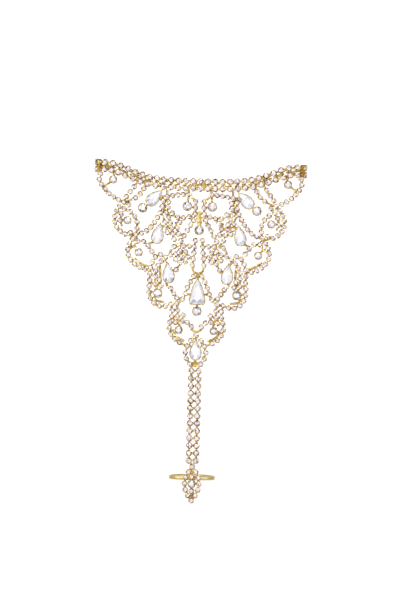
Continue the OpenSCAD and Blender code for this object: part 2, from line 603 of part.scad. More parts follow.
// The cluster is soldered to the finger band, which goes round behind it.
ring_y = -loop_depth / 2 + ring_d / 2 + ring_t - 0.7 * floor_t;
band_section = [for (p = [[0, 0], [0.6, 0], [1, 0.25], [1, 0.75], [0.6, 1], [0, 1]])
    [p[0] * ring_t, p[1] * ring_w]];
module finger_ring() {
    color(GOLD) {
        front() difference() {
            union() {
                linear_extrude(fine_cup_h) discs(cluster_seats, fine_cup_d);
                linear_extrude(link_h) {
                    for (side = [-1, 1]) polygon(strip(cluster_edge(side), link_w));
                    translate([-link_w / 2, cluster_middle - cluster_reach])
                        square([link_w, 2 * cluster_reach]);
                }
                translate([0, cluster_middle]) linear_extrude(bezel_h) circle(r = bezel_r);
                translate([-cluster_side, cluster_middle - link_w])
                    cube([2 * cluster_side, 2 * link_w, floor_t]);
            }
            pockets(cluster_seats, fine_cup_d, fine_cup_h);
            translate([0, cluster_middle, floor_t]) cylinder(r = bezel_r - bezel_wall, h = bezel_h);
        }
        translate([0, ring_y, cluster_middle + band_above - ring_w / 2])
            rotate_extrude($fn = 96) translate([ring_d / 2, 0]) polygon(band_section);
    }
}
module cluster_stones() { color(CRYSTAL) front() small_stones(cluster_seats, fine_cup_d, fine_cup_h); }
module cluster_round() {
    color(CRYSTAL) front() translate([0, cluster_middle, bezel_h - rim_drop])
        cut_stone(round_outline(round_d), crown_share * round_d, bezel_h - rim_drop - floor_t - stone_gap);
}

// The links of the back chain: every second one stands upright.
clasp_hole_at = half_loop - (clasp_l - clasp_w) / 2;
to_first_link = (link_l + eye_hole_d) / 2 - link_wire_d - link_play;
chain_from = eye_at + to_first_link;
chain_to = clasp_hole_at - to_first_link;
most_apart = link_l - 2 * link_wire_d - link_play;
function loop_point(s) = [loop_at(s)[0], loop_at(s)[1], height_at(s)];
chain_marks = [for (i = [0 : 60]) chain_from + (chain_to - chain_from) * i / 60];
chain_lengths = lengths([for (s = chain_marks) loop_point(s)]);
chain_l = chain_lengths[60];
link_gaps = 2 * ceil(chain_l / most_apart / 2);
function link_at(k) = lookup(k * chain_l / link_gaps,
    [for (i = [0 : 60]) [chain_lengths[i], chain_marks[i]]]);
module link() {
    r = (link_out_w - link_wire_d) / 2;
    straight = link_l - link_out_w;
    for (turned = [0, 180]) rotate([0, 0, turned]) {
        translate([straight / 2, 0, 0]) rotate([0, 0, -90]) rotate_extrude(angle = 180)
            translate([r, 0]) circle(d = link_wire_d);
        translate([-straight / 2, r, 0]) rotate([0, 90, 0]) cylinder(d = link_wire_d, h = straight);
    }
}
module back_chain() {
    for (k = [0 : link_gaps]) on_loop(link_at(k))
        translate([0, 0, chain_out]) rotate([k % 2 == 0 ? 90 : 0, 0, 0]) link();
}
module back_chain_right() { color(GOLD) back_chain(); }
module back_chain_left() { color(GOLD) mirror([1, 0, 0]) back_chain(); }
module clasp() {
    color(GOLD) on_loop(half_loop) linear_extrude(eye_t) difference() {
        union() {
            square([clasp_l - clasp_w, clasp_w], center = true);
            for (side = [-1, 1]) translate([side * (clasp_l - clasp_w) / 2, 0]) circle(d = clasp_w);
        }
        for (side = [-1, 1]) translate([side * (clasp_l - clasp_w) / 2, 0]) circle(d = eye_hole_d);
    }
}

wrist_band();
upper_lace();
lower_lace();
band_end_left();
band_end_right();
band_stones();
lace_stones();
for (s = LARGE) large_stone(s);
hand_strap();
strap_stones();
finger_ring();
cluster_stones();
cluster_round();
back_chain_left();
back_chain_right();
clasp();
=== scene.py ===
"""Hand chain bracelet in light gold plate and foiled crystal, dressed on its CAD frame."""

import math
import random

import bmesh
import bpy
from mathutils import Matrix, Vector


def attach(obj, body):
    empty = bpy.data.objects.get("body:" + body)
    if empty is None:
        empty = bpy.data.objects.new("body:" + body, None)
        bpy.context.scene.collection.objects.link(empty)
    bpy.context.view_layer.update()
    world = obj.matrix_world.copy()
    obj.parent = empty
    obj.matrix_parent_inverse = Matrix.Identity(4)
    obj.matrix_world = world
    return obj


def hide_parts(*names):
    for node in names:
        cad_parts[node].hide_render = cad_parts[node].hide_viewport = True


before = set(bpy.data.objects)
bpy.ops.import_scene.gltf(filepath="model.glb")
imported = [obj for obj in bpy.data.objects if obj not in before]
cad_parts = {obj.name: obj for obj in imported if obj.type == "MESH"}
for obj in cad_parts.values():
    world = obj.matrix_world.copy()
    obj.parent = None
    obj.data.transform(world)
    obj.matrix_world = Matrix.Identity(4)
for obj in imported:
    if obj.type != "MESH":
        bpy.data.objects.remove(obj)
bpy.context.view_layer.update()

# The lace is a flat sheet of stone strands, laid out and soldered before it is plated. Its
# places are charted in squares to the right of the middle line: across, then down.
# Each strand has a name, a cup at its first and last point or none, and its route.
MM = 0.001
FRONT_W, LACE_DROP, LOOP_DEPTH, SIDE_RISE = 85.9, 75.25, 16, 7.2
CHART_ACROSS, CHART_DOWN, CHART_UP = 200, 175, 18.84
FINE_PITCH, FINE_CUP_D, FINE_CUP_H = 2.52, 2.42, 1.3
CUP_D, CUP_H = 2.8, 1.5
CUP_EASE = 0.03
CUP_ROOM = 0.94 * FINE_CUP_D
FLOOR = 0.45
LINK_W, LINK_H = 1.0, 0.9
CURVE_STEPS = 6
STRANDS = [
    ("collar", 1, 1, [(11.5, 9.5), (22, 10.5), (33, 12.5)]),
    ("wing edge", 0, 0, [(97, -14.5), (101.5, -7.5), (100.5, 0), (94.5, 8), (86.5, 14.5), (76.5, 19.5)]),
    ("wing rib", 0, 0, [(63, -2), (68, 6), (73.5, 13), (76.5, 19.5)]),
    ("wing brace", 0, 1, [(54.5, -1), (57, 6), (61.5, 12), (68, 16.5), (76.5, 19.5)]),
    ("shoulder left", 0, 1, [(33, 12.5), (31.3, 19.5), (33.5, 28.5)]),
    ("shoulder right", 0, 0, [(37.5, 11), (37.2, 20), (39.3, 28.5)]),
    ("middle scroll edge", 1, 0, [
        (63.3, 51.5), (67.3, 57), (70.7, 64.5), (70.5, 71.5), (66.3, 78.5), (59, 84), (47.9, 87),
    ]),
    ("upper scroll edge", 0, 0, [
        (76.5, 19.5), (82, 26), (85, 34.5), (83.5, 43), (77.5, 49.5), (70, 52.5), (63.3, 51.5),
    ]),
    ("upper scroll second", 1, 1, [(75.3, 26), (78.5, 31.5), (79.3, 38), (77.3, 43.5)]),
    ("upper scroll inside", 0, 0, [
        (75.3, 26), (70, 28.5), (65.5, 32.5), (62.3, 39), (62.3, 46), (63.3, 51.5),
    ]),
    ("spray near", 1, 1, [(39.3, 28.5), (35.3, 34.5), (34, 41.5), (31.8, 48.5)]),
    ("spray middle", 0, 1, [(33.5, 28.5), (29.8, 35.5), (28.2, 42.5), (26.3, 49.5), (24.8, 55)]),
    ("spray far", 1, 1, [(24, 37.5), (22.3, 43.5), (20.6, 49.5)]),
    ("middle drop edge", 0, 0, [(39.3, 28.5), (44, 37), (49, 44), (55, 48.7), (63.3, 51.5)]),
    ("collar swag", 0, 0, [(4.6, 29.5), (10, 31.8), (18.5, 33.5), (26, 31.5), (33.5, 28.5)]),
    ("centre V", 1, 1, [
        (4.3, 16.7), (4.3, 23), (4.6, 29.5), (7, 36.5), (10.5, 43.5), (14.5, 50), (18, 56.3),
    ]),
    ("V foot", 0, 1, [(18, 56.3), (17.3, 61)]),
    ("bar end", 1, 1, [(24.8, 62.3), (27.8, 66)]),
    ("middle scroll second", 1, 1, [(61.7, 57.7), (65, 63)]),
    ("middle scroll inside", 0, 0, [(61.7, 57.7), (56.3, 57.7), (51.8, 61), (47.3, 67), (43, 73)]),
    ("lower scroll edge", 1, 1, [
        (43, 73), (46.3, 79.5), (47.9, 87), (48, 98), (48.6, 106), (47, 114), (42, 120.3), (34.5, 122.7),
        (26, 120),
    ]),
    ("lower scroll second", 0, 1, [
        (22.6, 69.5), (29.2, 71.3), (34.8, 74.7), (39, 80), (42, 86), (42.3, 92.5),
    ]),
    ("lower scroll lone", 1, 1, [(42.3, 100.3), (42.8, 95)]),
    ("lower drop edge", 1, 1, [(18.3, 79.8), (21.8, 85.3)]),
    ("lower scroll inside", 0, 1, [(31.5, 101), (27, 104), (23.7, 109), (21, 113.3), (14.7, 114.5)]),
    ("centre drop edge", 1, 1, [(4, 91.5), (7.6, 97.5), (10.3, 103.5), (12, 109)]),
    ("centre pair", 1, 1, [(3.5, 55.5), (4.3, 64), (4.9, 72.3), (5.7, 80.3)]),
    ("end scroll edge", 0, 0, [
        (26, 120), (24.7, 126), (25, 132.5), (26.8, 139), (26.8, 146), (23.7, 152.5), (17.5, 157.5),
        (10.7, 160.5),
    ]),
    ("end scroll second", 1, 1, [(20.3, 119.5), (19.2, 126), (19.4, 132)]),
    ("end scroll inside", 0, 1, [(25, 133.5), (17.5, 137), (11, 136.5), (5, 141.7)]),
    ("end drop edge", 1, 1, [(5.2, 155.8), (8.7, 161.3), (10.3, 167.5), (9, 173.8), (5.4, 179)]),
]
FIRST_STRANDS = (
    "wing edge", "middle scroll edge", "upper scroll edge", "lower scroll edge", "end scroll edge",
)
LONE_CUP = (0, 150.3)
ROSETTE = (16.9, 72.3)
ROSETTE_CUPS = 7
ROSETTE_R = (CUP_D + FINE_CUP_D) / 2 + 0.1


def chart(place):
    """A chart place as millimetres across and up."""
    square = SIDE_RISE / CHART_UP if place[1] < 0 else LACE_DROP / CHART_DOWN
    return Vector((place[0] * FRONT_W / CHART_ACROSS, -place[1] * square))


def smooth_route(points):
    """A curve through the points, as the solderer bends a strand."""
    route = []
    last = len(points) - 1
    for i in range(last):
        p, q, r, s = (points[max(0, min(last, i + k))] for k in (-1, 0, 1, 2))
        square, cube = 2 * p - 5 * q + 4 * r - s, 3 * q - p - 3 * r + s
        for step in range(CURVE_STEPS):
            t = step / CURVE_STEPS
            route.append(0.5 * (2 * q + (r - p) * t + square * t**2 + cube * t**3))
    return route + [points[last]]


def even_places(route, pitch):
    """Places at even steps of about the pitch along the route."""
    lengths = [0.0]
    for p, q in zip(route, route[1:]):
        lengths.append(lengths[-1] + (q - p).length)
    count = max(1, math.floor(lengths[-1] / pitch + 0.5))
    places = []
    for k in range(count + 1):
        want = lengths[-1] * k / count
        i = max(j for j in range(len(lengths)) if lengths[j] <= want + 1e-9)
        i = min(i, len(route) - 2)
        share = (want - lengths[i]) / (lengths[i + 1] - lengths[i])
        places.append(route[i].lerp(route[i + 1], share))
    return places


def spread(places, kept):
    """The kept places, and each new one that has room for its cup."""
    for place in places:
        if all((place - other).length >= CUP_ROOM for other in kept):
            kept = kept + [place]
    return kept


def mirrored(places):
    """The places of the right half, then those of the left."""
    return places + [Vector((-p.x, p.y)) for p in places]


strand_places, strand_cups = {}, {}
for name, first, last, points in STRANDS:
    places = even_places(smooth_route([chart(p) for p in points]), FINE_PITCH)
    strand_places[name] = places
    strand_cups[name] = places[1 - first : len(places) - 1 + last]
turns = [math.pi + k * math.tau / ROSETTE_CUPS for k in range(ROSETTE_CUPS)]
rosette_ring = [chart(ROSETTE) + ROSETTE_R * Vector((math.cos(a), math.sin(a))) for a in turns]
edge_cups = [p for name in strand_cups if name in FIRST_STRANDS for p in strand_cups[name]]
inner_cups = [p for name in strand_cups if name not in FIRST_STRANDS for p in strand_cups[name]]
lone_cups = [chart(LONE_CUP)]
all_kept = spread(rosette_ring + inner_cups, spread(edge_cups, lone_cups))
lace_seats = lone_cups + mirrored(all_kept[1:])


def front(place, out=0.0):
    """A place on the flat front, in metres, so far out from its back plane."""
    return Vector((place[0], -LOOP_DEPTH / 2 - out, place[1])) * MM


# Each small cup is drawn from brass strip, with four claws pressed down over the stone.
# The cups are set out by geometry nodes, from one cup turned and clawed here. Its claws
# start part of the way up its side, bend over its rim and end in a narrower tip.
CUP_SIDES = 16
CUP_RIM = 0.17
RIM_ROUND, RIM_LIP = 0.12, 0.1
CLAW_FOOT = 0.45
CLAW_W, CLAW_TIP = 0.56, 0.6
CLAW_REACH, CLAW_OVER = 0.52, 0.1
FOOT_T, BEND_T, TIP_T = 0.16, 0.2, 0.14


def skin(bm, loops):
    """Joins each loop of corners to the next, and closes the first and the last."""
    for low, high in zip(loops, loops[1:]):
        for k in range(len(low)):
            after = (k + 1) % len(low)
            bm.faces.new((low[k], low[after], high[after], high[k]))
    bm.faces.new(reversed(loops[0]))
    bm.faces.new(loops[-1])


def turned(bm, outline, sides):
    """Turns an outline of radius and height round the upright axis, closed at both ends."""
    turns = [k * math.tau / sides for k in range(sides)]
    skin(bm, [[bm.verts.new((r * math.cos(a), r * math.sin(a), z)) for a in turns] for r, z in outline])


def bent_claw(bm, sections, place):
    """A claw through sections of inward reach, height, width and thickness, turned by its place."""
    loops = []
    for reach, height, width, thick in sections:
        loop = []
        for side, out in ((-1, -1), (-1, 1), (1, 1), (1, -1)):
            corner = Vector((reach + out * thick / 2, side * width / 2, height + out * thick / 3))
            loop.append(bm.verts.new(place @ corner))
        loops.append(loop)
    skin(bm, loops)


def plain_mesh(name, bm):
    """The mesh of a finished bmesh, its faces all turned out."""
    bmesh.ops.recalc_face_normals(bm, faces=bm.faces)
    mesh = bpy.data.meshes.new(name)
    bm.to_mesh(mesh)
    bm.free()
    return mesh


def clawed_cup(name, d, h):
    """One cup of a chain, in metres, standing on its back with its mouth up."""
    bm = bmesh.new()
    r = d / 2
    turned(bm, [(r, 0), (r, h - RIM_ROUND), (r - RIM_LIP, h), (r - CUP_RIM, h - RIM_LIP)], CUP_SIDES)
    claw = [
        (0.04, h * CLAW_FOOT, CLAW_W, FOOT_T),
        (0.1, h + 0.04, CLAW_W, BEND_T),
        (CLAW_REACH, h + CLAW_OVER, CLAW_W * CLAW_TIP, TIP_T),
    ]
    inward = Matrix.Translation((r, 0, 0)) @ Matrix.Rotation(math.pi, 4, "Z")
    for k in range(4):
        bent_claw(bm, claw, Matrix.Rotation(math.radians(45 + 90 * k), 4, "Z") @ inward)
    bmesh.ops.scale(bm, vec=(MM, MM, MM), verts=bm.verts)
    mesh = plain_mesh(name, bm)
    mesh.shade_smooth()
    mesh.set_sharp_from_angle(angle=math.radians(50))
    return bpy.data.objects.new(name, mesh)


def add_node(tree, kind, inputs=None, **settings):
    """Adds a node with its settings, its values and its links."""
    node = tree.nodes.new(kind)
    for name, value in settings.items():
        setattr(node, name, value)
    for socket, value in (inputs or {}).items():
        if isinstance(value, bpy.types.NodeSocket):
            tree.links.new(value, node.inputs[socket])
        else:
            node.inputs[socket].default_value = value
    return node


def new_tree(name, inputs):
    """An empty geometry tree with named inputs, and its input node."""
    tree = bpy.data.node_groups.new(name, "GeometryNodeTree")
    tree.interface.new_socket("Geometry", in_out="INPUT", socket_type="NodeSocketGeometry")
    for label, kind in inputs.items():
        tree.interface.new_socket(label, in_out="INPUT", socket_type=kind)
    tree.interface.new_socket("Geometry", in_out="OUTPUT", socket_type="NodeSocketGeometry")
    return tree, add_node(tree, "NodeGroupInput")


def finished(tree, geometry, material):
    """Ends a tree: instances made real and the material laid on."""
    real = add_node(tree, "GeometryNodeRealizeInstances", {"Geometry": geometry})
    dressed = add_node(tree, "GeometryNodeSetMaterial", {
        "Geometry": real.outputs["Geometry"], "Material": material,
    })
    add_node(tree, "NodeGroupOutput", {"Geometry": dressed.outputs["Geometry"]})


def made_by(tree, name, mesh, values):
    """An object whose shape the tree works out from the mesh, kept as a plain mesh."""
    piece = bpy.data.objects.new(name, mesh)
    bpy.context.scene.collection.objects.link(piece)
    step = piece.modifiers.new(name, "NODES")
    step.node_group = tree
    for item in tree.interface.items_tree:
        if item.item_type == "SOCKET" and item.in_out == "INPUT" and item.name in values:
            step[item.identifier] = values[item.name]
    bpy.context.view_layer.update()
    shaped = bpy.data.meshes.new_from_object(piece.evaluated_get(bpy.context.evaluated_depsgraph_get()))
    piece.modifiers.clear()
    piece.data = shaped
    shaped.name = name
    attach(piece, "root")
    return piece


def seats_mesh(name, frames):
    """Loose points, each with the turn of the frame that stands there."""
    mesh = bpy.data.meshes.new(name)
    mesh.from_pydata([f.translation for f in frames], [], [])
    aim = mesh.attributes.new("aim", "FLOAT_VECTOR", "POINT")
    for k, f in enumerate(frames):
        aim.data[k].vector = f.to_euler()
    return mesh


def linear(hex_colour):
    """An sRGB hex colour as linear red, green, blue and alpha."""
    parts = [int(hex_colour[i : i + 2], 16) / 255 for i in (0, 2, 4)]
    return tuple(c / 12.92 if c <= 0.04045 else ((c + 0.055) / 1.055) ** 2.4 for c in parts) + (1.0,)


def paint_ramp(ramp, tones):
    """Gives a ramp its stops: a position and a hex colour each."""
    while len(ramp.elements) < len(tones):
        ramp.elements.new(0.5)
    for element, (position, colour) in zip(ramp.elements, tones):
        element.position = position
        element.color = linear(colour)


# Light gold plate on cast and drawn brass, barrel polished: pale yellow, near mirror, with
# soft dips from the tumbling and a slightly warmer tone where the plate is thin.
TONE_SCALE, DIP_SCALE = 700.0, 2600.0
DIP_STRENGTH, DIP_DEPTH = 0.25, 0.00004


def light_gold(name, tones, rough):
    """Plate with patches of the tones, and dips that dull and brighten it about a roughness."""
    material = bpy.data.materials.new(name)
    material.use_nodes = True
    tree = material.node_tree
    shader = tree.nodes["Principled BSDF"]
    place = add_node(tree, "ShaderNodeTexCoord")
    patches = add_node(tree, "ShaderNodeTexNoise", {
        "Vector": place.outputs["Object"], "Scale": TONE_SCALE, "Detail": 1.0,
    })
    tone = add_node(tree, "ShaderNodeValToRGB", {"Fac": patches.outputs["Fac"]})
    paint_ramp(tone.color_ramp, tones)
    dips = add_node(tree, "ShaderNodeTexNoise", {
        "Vector": place.outputs["Object"], "Scale": DIP_SCALE, "Detail": 3.0,
    })
    dip_range = {"Value": dips.outputs["Fac"], "From Min": 0.3, "From Max": 0.7}
    dull = add_node(tree, "ShaderNodeMapRange", {**dip_range, "To Min": rough * 0.6, "To Max": rough * 1.5})
    bump = add_node(tree, "ShaderNodeBump", {
        "Height": dips.outputs["Fac"], "Strength": DIP_STRENGTH, "Distance": DIP_DEPTH,
    })
    tree.links.new(tone.outputs["Color"], shader.inputs["Base Color"])
    tree.links.new(dull.outputs["Result"], shader.inputs["Roughness"])
    tree.links.new(bump.outputs["Normal"], shader.inputs["Normal"])
    shader.inputs["Metallic"].default_value = 1.0
    return material


plate_tones = [(0.36, "B89450"), (0.5, "DFC178"), (0.62, "F6E4A4")]
plate_gold = light_gold("light gold plate on brass", plate_tones, 0.2)

cup_tree, given = new_tree("set out cups", {"Cup": "NodeSocketObject", "Material": "NodeSocketMaterial"})
aim = add_node(cup_tree, "GeometryNodeInputNamedAttribute", {"Name": "aim"}, data_type="FLOAT_VECTOR")
cup = add_node(cup_tree, "GeometryNodeObjectInfo", {"Object": given.outputs["Cup"], "As Instance": True})
rows = add_node(cup_tree, "GeometryNodeInstanceOnPoints", {
    "Points": given.outputs["Geometry"], "Instance": cup.outputs["Geometry"],
    "Rotation": aim.outputs["Attribute"],
})
finished(cup_tree, rows.outputs["Instances"], given.outputs["Material"])

face_front = Matrix.Rotation(math.radians(90), 4, "X")


def front_frames(places):
    """A frame at each place of the front, turned to face out."""
    return [Matrix.Translation(front(p)) @ face_front for p in places]


def set_out(name, frames, cup, *nodes):
    """One gold piece of cups or claws at the frames."""
    piece = made_by(cup_tree, name, seats_mesh(name + " seats", frames), {"Cup": cup, "Material": plate_gold})
    if nodes:
        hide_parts(*nodes)


fine_cup = clawed_cup("fine cup", FINE_CUP_D + CUP_EASE, FINE_CUP_H)
lace_frames = front_frames(lace_seats)
set_out("lace_cups", lace_frames, fine_cup, "upper_lace", "lower_lace")


# The strands are joined cup to cup by drawn wire, and the open parts of the pattern by bare
# flattened wires. A tree sweeps a low oval along each route, as wide as its share says.
LINK_MID, LINK_OVAL = LINK_H / 2, LINK_H * 0.96
WIRE_W, WIRE_MID, WIRE_OVAL = 1.12, FLOOR * 0.75, FLOOR * 1.3
WIRES = [
    ("collar start", 1, [(4.3, 16.7), (11.5, 9.5)]),
    ("collar ties", 1, [(11, 4), (11.5, 9.5)]),
    ("shoulder tie", 1.2, [(33, 3), (33, 12.5)]),
    ("collar round stem", 1, [(11.5, 9.5), (12.5, 21.6)]),
    ("collar round tie", 1, [(4.3, 22.5), (12.5, 21.6)]),
    ("wing round stem", 1, [(87.5, -13), (87.5, -3.3), (98, 4.3)]),
    ("shoulder gold", 1.3, [(35, 11), (34.6, 20), (36.3, 29)]),
    ("shoulder round tie", 1, [(51, 19.3), (57.2, 24.4)]),
    ("upper drop tie", 1, [(37.4, 15), (45.5, 13.9)]),
    ("upper scroll round tie", 1, [(72, 37.5), (79.3, 37)]),
    ("upper scroll brace", 1, [(75.3, 26), (79.5, 23)]),
    ("middle drop foot", 1, [(42.5, 57), (51.8, 61)]),
    ("spray tie", 1, [(22.3, 43.5), (34, 41.5), (40, 44)]),
    ("spray foot", 1, [(20.6, 49.5), (26.3, 49.5), (31.8, 48.5)]),
    ("gold bar", 1.6, [(25.3, 54), (19.7, 62.3)]),
    ("bar tie", 1, [(20, 62), (24.8, 62.3)]),
    ("bar end tie", 1, [(27.8, 66), (29.2, 71.3)]),
    ("middle scroll round tie", 1, [(59.8, 69), (65, 63), (70.6, 67.5)]),
    ("middle scroll tie", 1, [(63.3, 51.5), (61.7, 57.7)]),
    ("middle scroll gold", 1.2, [(64, 75.5), (57, 80.5), (49, 83)]),
    ("lower drop tie", 1, [(34.8, 74.7), (30, 82)]),
    ("lower drop foot", 1, [(29, 95), (31.5, 101)]),
    ("lower drop gold", 1.6, [(38.5, 81), (37.7, 88), (37.8, 95), (39.5, 101)]),
    ("lower scroll round tie", 1, [(42.3, 100.3), (39.7, 109.3), (48.6, 107)]),
    ("lower scroll tie", 1, [(42.3, 100.3), (48, 99)]),
    ("lower scroll gold", 1.3, [(44.5, 112.5), (40.5, 116.8), (33, 118)]),
    ("lower drop side", 1, [(21.8, 85.3), (27, 88)]),
    ("rosette tie", 1, [(16.9, 72.3), (4.9, 72.3)]),
    ("rosette stem", 1, [(16.9, 72.3), (17.3, 61)]),
    ("rosette foot", 1, [(16.9, 72.3), (18.3, 79.8)]),
    ("centre drop tie", 1, [(12, 109), (14.7, 114.5), (20.3, 119.5), (26, 120)]),
    ("centre drop stay", 1, [(12, 109), (5, 110)]),
    ("centre drop arch", 1.6, [(5.7, 80.3), (4.5, 86.5), (0, 88.7)]),
    ("centre drop peak", 1, [(0, 88.7), (0, 98)]),
    ("low centre tie", 1.6, [(0, 118), (0, 126)]),
    ("end scroll tie", 1, [(19.4, 132), (17.5, 137)]),
    ("end scroll round tie", 1, [(17.5, 137), (17.5, 145.5), (26.8, 146)]),
    ("end scroll gold", 1.3, [(23.5, 147.5), (19.3, 152.5), (11.5, 156.5)]),
    ("chevron", 1.5, [(5, 141.7), (5.3, 144), (0, 147.6)]),
    ("end drop peak", 1, [(0, 147.6), (0, 158)]),
    ("end drop ties", 1, [(0, 150.3), (5.2, 155.8)]),
    ("end drop gold", 1.6, [(5, 160.3), (8.7, 161.3), (10.7, 160.5)]),
    ("end drop foot", 1, [(0, 172), (0, 180)]),
]

wire_tree, given = new_tree("sweep wire", {
    "Width": "NodeSocketFloat", "Height": "NodeSocketFloat", "Outward": "NodeSocketVector",
    "Material": "NodeSocketMaterial",
})
share = add_node(wire_tree, "GeometryNodeInputNamedAttribute", {"Name": "share"}, data_type="FLOAT")
runs = add_node(wire_tree, "GeometryNodeMeshToCurve", {"Mesh": given.outputs["Geometry"]})
faced = add_node(wire_tree, "GeometryNodeSetCurveNormal", {
    "Curve": runs.outputs["Curve"], "Normal": given.outputs["Outward"],
}, mode="FREE")
thick = add_node(wire_tree, "GeometryNodeSetCurveRadius", {
    "Curve": faced.outputs["Curve"], "Radius": share.outputs["Attribute"],
})
ring = add_node(wire_tree, "GeometryNodeCurvePrimitiveCircle", {"Resolution": 10, "Radius": 0.5})
oval_size = add_node(wire_tree, "ShaderNodeCombineXYZ", {
    "X": given.outputs["Height"], "Y": given.outputs["Width"], "Z": 1.0,
})
oval = add_node(wire_tree, "GeometryNodeTransform", {
    "Geometry": ring.outputs["Curve"], "Scale": oval_size.outputs["Vector"],
})
swept = add_node(wire_tree, "GeometryNodeCurveToMesh", {
    "Curve": thick.outputs["Curve"], "Profile Curve": oval.outputs["Geometry"], "Fill Caps": True,
})
soft = add_node(wire_tree, "GeometryNodeSetShadeSmooth", {
    "Geometry": swept.outputs["Mesh"], "Shade Smooth": True,
})
finished(wire_tree, soft.outputs["Geometry"], given.outputs["Material"])


def runs_mesh(name, runs):
    """Runs of points as edges, each with its share of the wire's width. A run may be closed."""
    points, edges, shares = [], [], []
    for width, closed, run in runs:
        first = len(points)
        points += run
        shares += [width] * len(run)
        edges += [(first + k, first + k + 1) for k in range(len(run) - 1)]
        if closed:
            edges.append((first + len(run) - 1, first))
    mesh = bpy.data.meshes.new(name)
    mesh.from_pydata(points, edges, [])
    share = mesh.attributes.new("share", "FLOAT", "POINT")
    share.data.foreach_set("value", shares)
    return mesh


def front_run(places, out, width=1.0):
    """An open run through places of the front, so far out."""
    return (width, False, [front(p, out) for p in places])


def both_sides(runs, out):
    """Runs on the front and their mirror images, so far out. A run on the middle line stays one."""
    made = []
    for width, run in runs:
        made.append(front_run(run, out, width))
        if any(abs(p.x) > 0.01 for p in run):
            made.append(front_run([(-p.x, p.y) for p in run], out, width))
    return made


OUTWARD = (0, -1, 0)


def set_wires(name, runs, width, height, *nodes):
    """One gold piece of wires along the runs."""
    size = {"Width": width * MM, "Height": height * MM, "Outward": OUTWARD, "Material": plate_gold}
    piece = made_by(wire_tree, name, runs_mesh(name + " runs", runs), size)
    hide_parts(*nodes)


link_routes = [*strand_places.values(), *([chart(ROSETTE), place] for place in rosette_ring)]
link_runs = both_sides([(1.0, route) for route in link_routes], LINK_MID)
set_wires("lace_links", link_runs, LINK_W, LINK_OVAL, "upper_lace", "lower_lace")
wire_routes = [(share, smooth_route([chart(p) for p in points])) for _, share, points in WIRES]
set_wires("lace_wires", both_sides(wire_routes, WIRE_MID), WIRE_W, WIRE_OVAL, "upper_lace", "lower_lace")


# Two small cast plates, above the middle round stone and under the end drop, with bevelled
# edges, soldered over the wires. Their backs lie a hair inside the backs of the cups they meet.
PLATES = [
    ("centre_plate", "upper_lace", [
        (0, 25), (5, 29.5), (2.6, 35), (2, 41), (-2, 41), (-2.6, 35), (-5, 29.5),
    ]),
    ("end_plate", "lower_lace", [(-6.5, 178.5), (0, 176), (6.5, 178.5), (4, 181.5), (0, 182.5), (-4, 181.5)]),
]
PLATE_BACK, PLATE_T = 0.03, 0.8
PLATE_BEVEL = 0.16


def slab(bm, outline, low, high):
    """A slab of the front between two depths, from its outline in millimetres."""
    back = [bm.verts.new(front(p, low)) for p in outline]
    face = [bm.verts.new(front(p, high)) for p in outline]
    bm.faces.new(back)
    bm.faces.new(reversed(face))
    for k in range(len(outline)):
        bm.faces.new((back[k], face[k], face[(k + 1) % len(outline)], back[(k + 1) % len(outline)]))


def new_piece(name, mesh, material, slot, *nodes):
    """A finished piece of one material, in place of the nodes."""
    piece = bpy.data.objects.new(name, mesh)
    bpy.context.scene.collection.objects.link(piece)
    piece.data.materials.append(material)
    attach(piece, "root")
    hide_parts(*nodes)


for name, tier, outline in PLATES:
    bm = bmesh.new()
    slab(bm, [chart(p) for p in outline], PLATE_BACK, PLATE_T)
    bmesh.ops.bevel(bm, geom=bm.edges[:], offset=PLATE_BEVEL * MM, segments=2, profile=0.6, affect="EDGES")
    new_piece(name, plain_mesh(name, bm), plate_gold, "gold", tier)


# The large stones sit in bezels: a strip of brass bent round each stone, with a floor, a
# rolled rim and claws. Their outlines run clockwise from the tip, as the stone cutter's do.
DROP_L, DROP_W = 8.4, 4.7
CENTRE_L, CENTRE_W = 10.6, 6.4
LARGE_ROUND_D, ROUND_D = 3.5, 2.9
BEZEL_WALL, BEZEL_H, BEZEL_EDGE = 0.26, 1.9, 0.09
BED_BACK, BED_WALL = 0.02, 0.7
STONE_GAP = 0.1
RIM_DROP = 0.15
SWELL_PEAK = 0.7698
CENTRE_HALF = [
    (0, 0.5), (0.16, 0.36), (0.3, 0.17), (0.41, -0.06), (0.5, -0.34), (0.48, -0.46), (0.4, -0.5), (0, -0.5),
]
PAIRS = [
    ("upper_drop", (45.5, 13.9), 45, "drop"),
    ("middle_drop", (40.9, 49.8), 11, "drop"),
    ("lower_drop", (29.5, 88.8), -5, "drop"),
    ("wing_round", (87.5, -3.3), 0, "round"),
    ("shoulder_round", (57.2, 24.4), 0, "large"),
    ("collar_round", (12.6, 21.6), 0, "large"),
    ("upper_scroll_round", (72, 37.3), 0, "round"),
    ("middle_scroll_round", (59.8, 69), 0, "round"),
    ("lower_scroll_round", (39.7, 109.3), 0, "large"),
    ("end_scroll_round", (17.5, 145.5), 0, "round"),
]
SINGLES = [
    ("centre_round", (0, 45.3), 0, "large"),
    ("centre_drop", (0, 106.8), 0, "centre"),
    ("low_centre_round", (0, 126.2), 0, "large"),
    ("end_drop", (0, 165), 0, "drop"),
]
CLAW_POINTS = {
    "drop": (0, 5, 10, 14, 19),
    "centre": (0, 4, 6, 8, 10),
    "round": (2, 6, 10, 14),
    "large": (2, 6, 10, 14),
}
large_stones = [(n + "_right", chart(p), t, k) for n, p, t, k in PAIRS]
large_stones += [(n + "_left", chart((-p[0], p[1])), -t, k) for n, p, t, k in PAIRS]
large_stones += [(n, chart(p), t, k) for n, p, t, k in SINGLES]


def circle_outline(d, sides=16):
    """A circle of so many corners, clockwise from the top."""
    turns = [k * math.tau / sides for k in range(sides)]
    return [d / 2 * Vector((math.sin(a), math.cos(a))) for a in turns]


